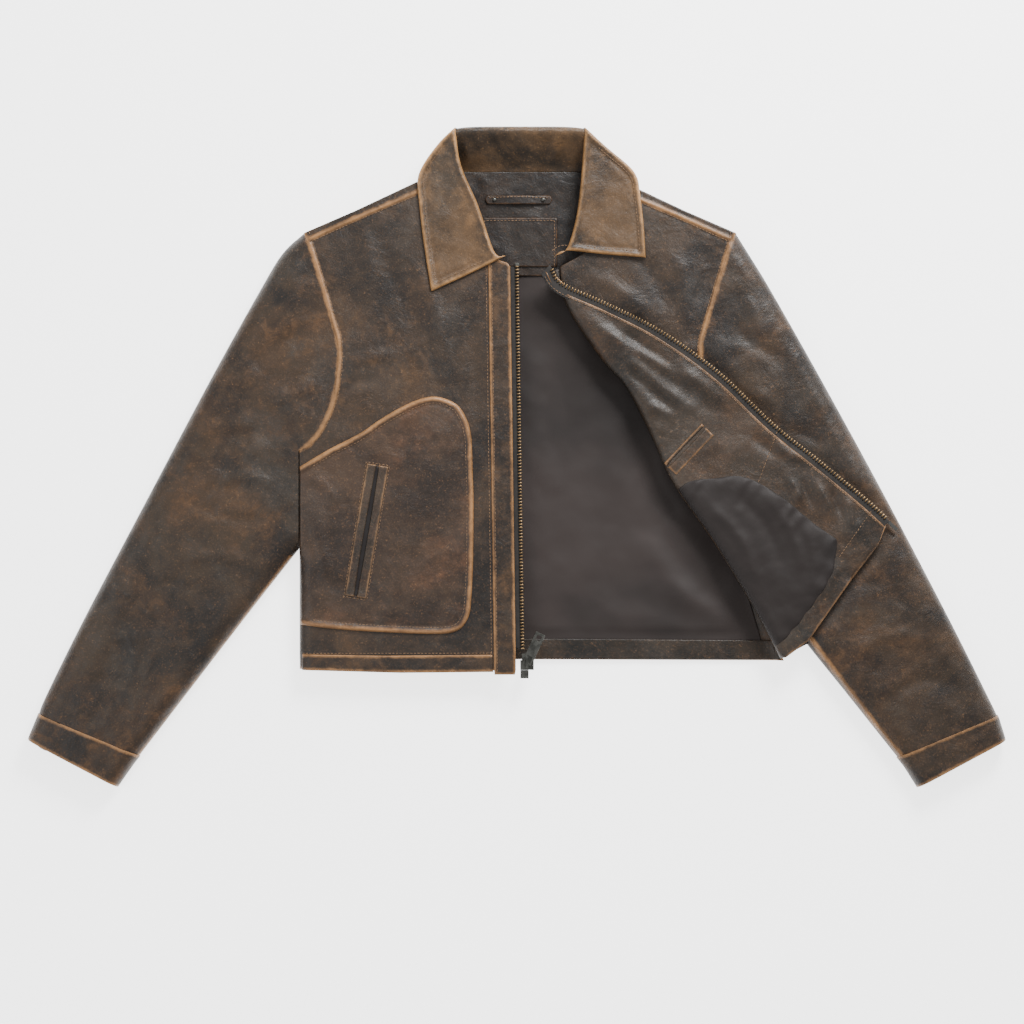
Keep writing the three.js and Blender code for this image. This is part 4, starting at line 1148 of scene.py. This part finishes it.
# %% Stand and fall
band = []
across = np.linspace(-1, 1, 61)
path = [(547, 4.0), (552, 4.6), (558, 7.5), (566, 13.0), (575, 19.5), (584, 26.0), (589, 29.4), (593, 31.2),
        (596.5, 31.0), (599.2, 28.5), (600.2, 24.0), (600.4, 14.0), (600.4, 2.5)]
path = smooth(path, 4)
PLEATS = [
    ([(-44, 560), (-42, 592)], 4, 1.4),
    ([(-30, 562), (-31, 592)], 4, -1.2),
    ([(38, 560), (40, 592)], 4, 1.5),
    ([(30, 560), (30, 590)], 4, -1.2),
    ([(4, 566), (2, 592)], 7, 1.0),
    ([(-58, 560), (-60, 588)], 4, 1.2),
]
for y, z in path:
    half = 76.0 - 5.0 * np.clip((y - 592) / 8, 0, 1)
    curve = 2.4 * np.clip((y - 580) / 18, 0, 1) * across**6
    band.append(level(np.column_stack([half * across, y - curve]), z))
band = np.vstack(band)
lump = ripple(band[:, :2], 30.0, 55.0)
inside_band = band[:, 1] < 596
band[:, 2] += np.where(inside_band, 0.9 * lump + folds(band[:, :2], PLEATS), 0)
stand = mesh_piece("collar_band", band, woven(len(path), len(across)), COLLAR_LEATHER,
                   np.abs(band[:, 1] - 597.0) * 1.5 + 3.6)
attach(stand, "torso")
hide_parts("collar_stand", "collar_fall")
FALL_LEVELS = ((2.5, 31.0), (1.2, 30.6), (0.8, 26.0), (1.4, 18.0), (1.6, 10.0), (1.4, 2.0))
for side_name, edge_line, outward in (("right", right_rim[0], 1), ("left", left_rim[0], -1)):
    edge_line = spaced(edge_line, 3.0)
    wall = np.vstack([level(beside(edge_line, outward * off), z) for off, z in FALL_LEVELS])
    quads = woven(len(FALL_LEVELS), len(edge_line))
    if outward > 0:
        quads = [q[::-1] for q in quads]
    skirt = mesh_piece(f"collar_fall_{side_name}", wall, quads, COLLAR_LEATHER, np.full(len(wall), 20.0))
    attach(skirt, "torso")

# %% [markdown]
# ## Inside of the jacket
# The back is the lowest hide. It lies flat on the floor and turns up like a shallow dish along the side
# seams and shoulders, where it is sewn to the fronts. One function gives that dish to the back, the lining and
# the hem facing, so they never cut each other.

# %% Back
BACK_SIDES = [
    np.array([(-243, 246), (-243, 136), (-243, 14)]),
    np.array([(243, 246), (243, 136), (291, 12)]),
    np.array([(-237.6, 483), (-180, 508), (-118, 536)]),
    np.array([(118, 536), (180, 508), (237.6, 483)]),
]
back_ring = ring_of(BACK_SIDES[0][::-1], ARMHOLE[::-1] - [1, 0], BACK_SIDES[2], [(-118, 536), (-66, 551)],
                    [(-66, 551), (66, 551)], [(66, 551), (118, 536)], BACK_SIDES[3],
                    ARMHOLE * [-1, 1] + [1, 0], BACK_SIDES[1], [(291, 12), (140, 12.5), (0, 13), (-243, 14)],
                    step=4.0)


def dish(p, rise, reach):
    """A floor that turns up to its rise along the side seams and shoulders."""
    height = np.zeros(len(p))
    for line, share in zip(BACK_SIDES, (1.0, 1.0, 1.75, 1.75)):
        height = np.maximum(height, share * rise * (1 - arch(away(p, line), reach)))
    return height


back = hide("back", back_ring, lambda p: 2.0 + dish(p, 13.0, 15.0), BODY_LEATHER, 1.5, 6.0, edge=0.3)
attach(back, "torso")
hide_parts("back_panel")

# %% [markdown]
# The satin lies over the back in long soft folds. They are wide and low: satin this thin shows a fold by its
# shine more than by its height.

# %% Satin lining of the back
LINING_FOLDS = [
    ([(60, 420), (75, 330), (66, 250)], 16, 1.6),
    ([(30, 380), (40, 300), (36, 210)], 16, -1.8),
    ([(210, 60), (170, 100), (128, 160)], 14, 3.2),
    ([(250, 42), (205, 70), (150, 95)], 13, 3.0),
    ([(180, 40), (140, 58), (80, 66)], 13, 2.2),
    ([(225, 100), (190, 140), (160, 190)], 14, 2.4),
    ([(110, 300), (104, 240), (120, 180)], 15, 1.8),
    ([(40, 60), (70, 120), (60, 180)], 15, 1.8),
    ([(130, 260), (150, 200), (190, 150)], 10, -2.6),
]


def lining_z(p):
    """Height of the satin over the back."""
    z = 4.2 + 1.6 * ripple(p, 95.0, 61.0) + 0.5 * ripple(p, 30.0, 62.0) + folds(p, LINING_FOLDS)
    z = z * np.clip((p[:, 1] - 28) / 20, 0.4, 1)
    return np.clip(z, 2.9, 14.0) + dish(p, 8.0, 18.0)


inner_ring = ring_of([(-236, 30), (-236, 240)], (ARMHOLE + [8, 0])[::-1],
                     [(-228, 480), (-180, 498), (-105, 528)], [(-105, 528), (105, 528)],
                     [(105, 528), (180, 498), (228, 480)], ARMHOLE * [-1, 1] - [8, 0],
                     [(236, 240), (236, 138), (268, 30)], [(268, 30), (-236, 30)], step=4.0)
lining = hide("back_lining_satin", inner_ring, lining_z, SATIN, 0.5, 4.2, edge=0.2)
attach(lining, "torso")
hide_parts("back_lining")

# %% [markdown]
# A leather facing runs along the hem and another lines the neck.

# %% Hem and neck facings
hem_facing_ring = ring_of([(-238, 14), (-238, 35)], [(-238, 35), (40, 36), (280, 34)], [(280, 34), (289, 13)],
                          [(289, 13), (0, 13.5), (-238, 14)], step=3.0)
hem_facing = hide(
    "hem_facing", hem_facing_ring, lambda p: 5.0 + 0.5 * ripple(p, 30.0, 70.0) + dish(p, 8.0, 18.0),
    FACING_LEATHER, 1.2, 3.0, tan=([(-238, 37), (-237, 37)],), edge=0.7)
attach(hem_facing, "torso")
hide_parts("back_hem_facing")
neck_ring = ring_of([(-88, 437), (-90, 500)], [(-90, 500), (-86, 545), (-70, 552)], [(-70, 552), (70, 552)],
                    [(70, 552), (86, 545), (90, 500)], [(90, 500), (88, 437)], [(88, 437), (-88, 437)])
# The neck facing, and the label and strap on it, take the leather painted dark as the shade under the collar.
neck = hide(
    "neck_facing", neck_ring, lambda p: 6.4 + 1.0 * ripple(p, 40.0, 71.0) + 0.3 * ripple(p, 11.0, 72.0, 4),
    SHADED_NECK_LEATHER, 1.1, 3.0, tan=([(88, 437), (-88, 437)],), edge=0.8)
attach(neck, "torso")
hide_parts("back_neck_facing")

# %% [markdown]
# On the neck facing sit a blank label patch and the hanger strap. The strap is sewn down at its two ends and
# stands off the leather between them, so its height is a parabola.

# %% Label and hanger strap
def label_z(p):
    """Height of the label patch."""
    return 8.6 + 1.0 * ripple(p, 40.0, 71.0)


def strap_z(p):
    """Height of the strap, highest in the middle."""
    return 8.6 + 3.0 * np.clip(1 - ((p[:, 0] + 1.5) / 27) ** 2, 0, 1)


label_ring = ring_of([(-42, 447), (-42, 501)], [(-42, 501), (41, 501)], [(41, 501), (41, 447)],
                     [(41, 447), (-42, 447)])
label = hide("label", label_ring, label_z, SHADED_NECK_LEATHER, 1.1, 2.6, edge=0.8)
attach(label, "torso")
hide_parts("label_patch")
strap_ring = ring_of(smooth([(-36, 525.5), (-38.5, 521), (-36, 516)]), [(-36, 516), (33, 516)],
                     smooth([(33, 516), (35.5, 521), (33, 525.5)]), [(33, 525.5), (-36, 525.5)], step=1.6)
strap = hide("hanger_strap", strap_ring, strap_z, SHADED_NECK_LEATHER, 1.3, 1.8, edge=0.8)
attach(strap, "torso")
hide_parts("hanger_loop")

# %% [markdown]
# Behind the right front edge a leather facing and the front lining close the jacket from inside. They hang
# under the front by its own height, so they stay hidden from above and show when one looks in at the hem.

# %% Inside of the right front
front_lining_ring = ring_of([(-236, 20), (-66, 20)], [(-66, 20), (-66, 440)],
                            smooth([(-66, 440), (-90, 500), (-112, 528)]),
                            [(-112, 528), (-180, 498), (-229, 478)], ARMHOLE + [7, 0],
                            [(-236, 240), (-236, 20)], step=5.0)
front_lining = hide("front_inside", front_lining_ring, lambda p: np.minimum(22.2, front_z(p) - 2.6),
                    SLEEVE_SATIN, 0.5, 7.0, edge=0.2)
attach(front_lining, "torso")
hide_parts("right_front_lining", "right_pocket_bag")
front_facing_ring = ring_of([(-64, 4), (-8, 4)], [(-8, 4), (-14, 440)], [(-14, 440), (-40, 468), (-64, 440)],
                            [(-64, 440), (-64, 4)], step=4.0)
front_facing = hide("front_inside_facing", front_facing_ring, lambda p: np.minimum(22.6, front_z(p) - 2.6),
                    FACING_LEATHER, 0.9, 5.0, edge=0.3)
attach(front_facing, "torso")
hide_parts("right_front_facing")
print("inside made")


# %% [markdown]
# ## Rows of small parts
# Zip teeth and stitches are one shape repeated along drawn lines. A Geometry Nodes group does the repeating:
# it makes a curve of the line, spaces points on it, turns them along the curve with a little jitter and puts
# the shape on each. Its spacing, shape, stuff and jitter are named inputs, so the teeth, the threads and the
# studs share it. An array modifier wouldn't follow a curved line so evenly.


# %% The row group
def row_group():
    """Node group: parts at even spacing along edges, turned to follow them."""
    tree = bpy.data.node_groups.new("row_of_parts", "GeometryNodeTree")
    face = tree.interface
    face.new_socket("Lines", in_out="INPUT", socket_type="NodeSocketGeometry")
    face.new_socket("Spacing", in_out="INPUT", socket_type="NodeSocketFloat")
    face.new_socket("Shape", in_out="INPUT", socket_type="NodeSocketObject")
    face.new_socket("Stuff", in_out="INPUT", socket_type="NodeSocketMaterial")
    face.new_socket("Jitter", in_out="INPUT", socket_type="NodeSocketFloat")
    face.new_socket("Geometry", in_out="OUTPUT", socket_type="NodeSocketGeometry")
    add, link = tree.nodes.new, tree.links.new
    group_in, group_out = add("NodeGroupInput"), add("NodeGroupOutput")
    curve, points = add("GeometryNodeMeshToCurve"), add("GeometryNodeResampleCurve")
    points.mode = "LENGTH"
    tangent, turn = add("GeometryNodeInputTangent"), add("FunctionNodeAlignRotationToVector")
    turn.axis = "X"
    sway = add("FunctionNodeRandomValue")
    sway.data_type = "FLOAT"
    sway.inputs["Seed"].default_value = 7
    lean = add("ShaderNodeCombineXYZ")
    spin = add("FunctionNodeRotateRotation")
    spin.rotation_space = "LOCAL"
    shape, place = add("GeometryNodeObjectInfo"), add("GeometryNodeInstanceOnPoints")
    shape.transform_space = "ORIGINAL"
    real, paint = add("GeometryNodeRealizeInstances"), add("GeometryNodeSetMaterial")
    minus = add("ShaderNodeMath")
    minus.operation = "MULTIPLY"
    minus.inputs[1].default_value = -1.0
    link(group_in.outputs["Lines"], curve.inputs[0])
    link(curve.outputs[0], points.inputs["Curve"])
    link(group_in.outputs["Spacing"], points.inputs["Length"])
    link(tangent.outputs[0], turn.inputs["Vector"])
    link(group_in.outputs["Jitter"], minus.inputs[0])
    link(minus.outputs[0], sway.inputs[2])
    link(group_in.outputs["Jitter"], sway.inputs[3])
    link(sway.outputs[1], lean.inputs["Z"])
    link(turn.outputs[0], spin.inputs[0])
    to_turn = add("FunctionNodeEulerToRotation")
    link(lean.outputs[0], to_turn.inputs[0])
    link(to_turn.outputs[0], spin.inputs[1])
    link(group_in.outputs["Shape"], shape.inputs[0])
    link(points.outputs[0], place.inputs["Points"])
    link(shape.outputs["Geometry"], place.inputs["Instance"])
    link(spin.outputs[0], place.inputs["Rotation"])
    link(place.outputs[0], real.inputs[0])
    link(real.outputs[0], paint.inputs[0])
    link(group_in.outputs["Stuff"], paint.inputs["Material"])
    link(paint.outputs[0], group_out.inputs[0])
    return tree


ROW = row_group()
print("row group with", len(ROW.nodes), "nodes")

# %% [markdown]
# A row is made with that group and then turned into plain mesh, so the export has no live modifier to work
# out. The small shapes are spindles: rings of points at stations along x.


# %% Rows and spindles
def row_of(name, lines, spacing, shape, stuff, jitter=0.0):
    """A plain mesh of the shape repeated along 3-D lines given in millimetres."""
    points, edges = [], []
    for line in lines:
        start = len(points)
        points += [tuple(v) for v in metres(line)]
        edges += [(start + i, start + i + 1) for i in range(len(line) - 1)]
    mesh = bpy.data.meshes.new(name)
    mesh.from_pydata(points, edges, [])
    made = bpy.data.objects.new(name, mesh)
    bpy.context.collection.objects.link(made)
    live = made.modifiers.new("row", "NODES")
    live.node_group = ROW
    keys = {item.name: item.identifier for item in ROW.interface.items_tree if item.in_out == "INPUT"}
    live[keys["Spacing"]] = spacing * MM
    live[keys["Shape"]] = shape
    live[keys["Stuff"]] = stuff
    live[keys["Jitter"]] = jitter
    graph = bpy.context.evaluated_depsgraph_get()
    done = bpy.data.meshes.new_from_object(made.evaluated_get(graph))
    made.modifiers.clear()
    made.data = done
    if not done.materials:
        done.materials.append(stuff)
    done.shade_smooth()
    print(name, len(done.polygons), "faces")
    return made


def spindle(name, profile, sides):
    """A small closed shape turned about x: (x, radius y, radius z) at each station, in millimetres."""
    points, faces = [], []
    for x, ry, rz in profile:
        points += [(x, ry * math.cos(2 * math.pi * k / sides), rz * math.sin(2 * math.pi * k / sides))
                   for k in range(sides)]
    for i in range(len(profile) - 1):
        a, b = i * sides, (i + 1) * sides
        faces += [(a + k, a + (k + 1) % sides, b + (k + 1) % sides, b + k) for k in range(sides)]
    faces += [tuple(range(sides)), tuple(range(len(points) - 1, len(points) - sides - 1, -1))]
    mesh = bpy.data.meshes.new(name)
    mesh.from_pydata([tuple(MM * c for c in v) for v in points], [], [f[::-1] for f in faces])
    made = bpy.data.objects.new(name, mesh)
    bpy.context.collection.objects.link(made)
    return made


stitch = spindle("stitch_shape", [(-1.35, 0.16, 0.14), (-0.9, 0.36, 0.34), (0, 0.42, 0.40), (0.9, 0.36, 0.34),
                                  (1.35, 0.16, 0.14)], 6)


def lifted(line, height, lift=0.25, step=3.0):
    """The line laid on a surface, a little above it."""
    flat = spaced(line, step)
    return np.column_stack([flat, height(flat) + lift])


# %% [markdown]
# ## Zip
# Each chain is a row of cast teeth clamped on the edge of its tape. The right one lies straight on the
# placket's side, and the left one lies turned over on the front's edge. A tooth is an eight-sided spindle with
# bevelled ends: at this size its glint matters more than its hook.

# %% Tapes and teeth
TOOTH_PITCH = 3.5
tooth = spindle("tooth_shape", [(-0.78, 1.5, 0.7), (-0.66, 2.3, 1.1), (0.66, 2.3, 1.1), (0.78, 1.5, 0.7)], 8)
RIGHT_CHAIN = np.array([(chain_x(y) + 0.2, y) for y in np.linspace(26, 446, 90)])
tape_ring = ring_of(RIGHT_CHAIN - [12, 0], [(-15, 446), (-3.6, 446)], RIGHT_CHAIN[::-1] + [0.6, 0],
                    [RIGHT_CHAIN[0], RIGHT_CHAIN[0] - [12, 0]], step=2.5)
tape = hide("right_tape", tape_ring, lambda p: np.full(len(p), 24.5), TAPE, 0.5, 3.0, edge=0.2)
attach(tape, "torso")
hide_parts("right_zip_tape")
chain = row_of("right_teeth", [level(RIGHT_CHAIN, 25.7)], TOOTH_PITCH, tooth, BRASS)
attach(chain, "torso")
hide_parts("right_zip_teeth")

left_line = beside(TEETH, -1.6)
tape_edge, tape_seam = beside(TEETH, -1.2), beside(TEETH, -14.0)
left_tape_ring = ring_of(tape_edge, [tape_edge[-1], tape_seam[-1]], tape_seam[::-1][:-2],
                         [tape_seam[2], tape_edge[0]], step=2.5)
left_tape = hide("left_tape", left_tape_ring, lambda p: flap_z(p) - 1.0, TAPE, 0.5, 3.0, edge=0.2)
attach(left_tape, "left_front")
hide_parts("left_zip_tape")
left_run = lifted(spaced(left_line, 3.0)[2:-2], flap_z, -0.1)
left_chain = row_of("left_teeth", [left_run], TOOTH_PITCH, tooth, BRASS)
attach(left_chain, "left_front")
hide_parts("left_zip_teeth")

# %% [markdown]
# ## Stitching
# A run of thread lies just inside every turned edge. The runs are the seam lines themselves, moved sideways
# and laid on the height of their own piece. Threads ride the same body as the leather that they hold.

# %% Stitches
STITCH_PITCH = 3.9
SWAY = 0.08
torso_runs = [
    lifted(beside(POCKET_EDGE, -7.2)[3:-3], pocket_z, 0.15),
    lifted(PLACKET_LEFT + [3.6, 0], lambda p: front_z(p) + 1.3, 0.05),
    lifted(PLACKET_LEFT - [2.6, 0], front_z, 0.1),
    lifted([(-238, 20.5), (-150, 20.5), (-32, 20.8)], front_z, 0.35),
    lifted(ARMHOLE + [6.2, 0], front_z, 0.1),
    lifted(LEFT_ARM - [6.2, 0], yoke_z, 0.1),
    lifted(SHOULDER_SEAM - [0, 3.6], front_z, 0.1),
    lifted(SHOULDER_SEAM * [-1, 1] - [0, 3.6], yoke_z, 0.1),
    lifted([(-39, 450), (-39, 498), (38, 498), (38, 450)], label_z, 0.3),
    lifted([(-33, 523), (-10, 524), (10, 524), (30, 523)], strap_z, 0.2),
]
frame_line = welt_frame([(-75, -12.6), (75, -12.6), (75, 13.2), (-75, 13.2), (-75, -12.6)])
torso_runs.append(lifted(frame_line, pocket_z, 0.2))
threads = row_of("body_stitches", torso_runs, STITCH_PITCH, stitch, THREAD, SWAY)
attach(threads, "torso")
flap_runs = [
    lifted(beside(TEETH, -11.5)[4:-3], flap_z, 0.2),
    lifted([(281.6, 262.9), (262, 210)], flap_z, 0.2),
    lifted([(384.6, 176), (351, 127.6)], flap_z, 0.2),
]
flap_threads = row_of("front_stitches", flap_runs, STITCH_PITCH, stitch, THREAD, SWAY)
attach(flap_threads, "left_front")
for body, rim, inset, seed in (("right_collar", right_rim, 6.4, RIGHT_SEED),
                               ("left_collar", left_rim, -6.4, LEFT_SEED)):
    inner_run = beside(np.vstack([spaced(line, 4)[:-1] for line in rim[:-1]]), inset)
    outline = np.vstack([spaced(line, 6) for line in rim])
    inner_run = inner_run[away(inner_run, outline) > 5.6]
    run = np.column_stack([inner_run, leaf_z(inner_run, seed) + 0.45])
    collar_threads = row_of(f"{body}_stitches", [run], STITCH_PITCH, stitch, THREAD, SWAY)
    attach(collar_threads, body)

# %% [markdown]
# ## Metal
# The slider, its tab and the stops are small castings. At their size a few bevelled bars, joined in one mesh,
# show every edge that the eye can find, so nothing is sculpted. The bevel is what catches the light.


# %% Bevelled bars
BOX_FACES = ((3, 2, 1, 0), (4, 5, 6, 7), (0, 1, 5, 4), (1, 2, 6, 5), (2, 3, 7, 6), (3, 0, 4, 7))


def bars(name, boxes, stuff, bevel=0.4, turn=0.0, about=(0, 0)):
    """Bevelled bars joined in one mesh: (x0, x1, y0, y1, z0, z1), turned clockwise about a point."""
    every = bmesh.new()
    cos, sin = math.cos(-turn), math.sin(-turn)
    for x0, x1, y0, y1, z0, z1 in boxes:
        base = ((x0, y0), (x1, y0), (x1, y1), (x0, y1))
        corners = [every.verts.new((x, y, z)) for z in (z0, z1) for x, y in base]
        made = [every.faces.new([corners[i] for i in f]) for f in BOX_FACES]
        edges = list({e for f in made for e in f.edges})
        bmesh.ops.bevel(every, geom=edges, offset=bevel, segments=3, affect="EDGES", profile=0.6)
    for v in every.verts:
        x, y = v.co.x, v.co.y
        if turn:
            x, y = x * cos - y * sin + about[0], x * sin + y * cos + about[1]
        v.co = at(x, y, v.co.z)
    mesh = bpy.data.meshes.new(name)
    every.to_mesh(mesh)
    mesh.materials.append(stuff)
    made = bpy.data.objects.new(name, mesh)
    bpy.context.collection.objects.link(made)
    return made


# %% [markdown]
# The slider hangs on the end of the right chain: two plates, the post between them and the bridge over them.
# Its tab lies through the bridge and leans towards the open front. The retainer box and the top stop close the
# chain's two ends.

# %% Slider, tab and stops
slider = bars("slider", [(0.2, 15.2, 2.4, 13.0, 21.9, 23.2), (2.0, 13.4, 12.0, 20.2, 21.95, 23.15),
                         (0.2, 15.2, 2.4, 13.0, 27.0, 28.5), (2.0, 13.4, 12.0, 20.2, 27.05, 28.4),
                         (8.1, 10.8, 12.0, 19.0, 22.8, 27.4), (6.3, 9.1, 5.0, 7.8, 28.0, 33.1),
                         (6.3, 9.1, 14.4, 17.2, 28.0, 33.1), (6.2, 9.2, 4.9, 17.3, 31.9, 33.3)],
              GUNMETAL, 0.45)
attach(slider, "zip_slider")
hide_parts("slider_body")
TAB_LEAN = math.radians(25)
BRIDGE = (7.5, 9.6)
tab = bars("pull_tab_body", [(-5.6, -2.8, 6.0, 36.5, 29.6, 31.1), (2.8, 5.6, 6.0, 36.5, 29.6, 31.1),
                             (-5.5, 5.5, 33.6, 36.45, 29.65, 31.05), (-3.6, 3.6, 8.5, 27.5, 29.8, 30.85),
                             (-4.4, 4.4, -1.2, 1.2, 29.6, 31.1), (-4.6, -2.9, -1.1, 9.0, 29.7, 31.0),
                             (2.9, 4.6, -1.1, 9.0, 29.7, 31.0)], GUNMETAL, 0.4, TAB_LEAN, BRIDGE)
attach(tab, "zip_pull")
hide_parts("pull_tab")
stops = bars("zip_stops", [(0.4, 9.6, -7.0, 2.2, 24.5, 28.2), (-5.4, -0.6, 446.4, 450.2, 24.2, 26.9)],
             GUNMETAL, 0.6)
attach(stops, "torso")
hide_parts("zip_retainer_box", "zip_top_stop")

# %% [markdown]
# A stud holds each end of the hanger strap. It is one more spindle, set twice by the row group. The shapes
# that were only there to be repeated are then removed.

# %% Studs
STUD_PROFILE = [(-1.9, 1.0, 0.3), (-1.4, 1.8, 0.9), (0, 2.5, 1.4), (1.4, 1.8, 0.9), (1.9, 1.0, 0.3)]
stud = spindle("stud_shape", STUD_PROFILE, 12)
stud_places = [[(x, 521, 9.7), (x + 0.3, 521, 9.7)] for x in (-28.5, 25.5)]
studs = row_of("hanger_studs", stud_places, 3.0, stud, GUNMETAL)
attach(studs, "torso")
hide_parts("hanger_stud_right", "hanger_stud_left")
for helper in ("tooth_shape", "stitch_shape", "stud_shape"):
    bpy.data.objects.remove(bpy.data.objects[helper])
print("zip, stitches and metal made")
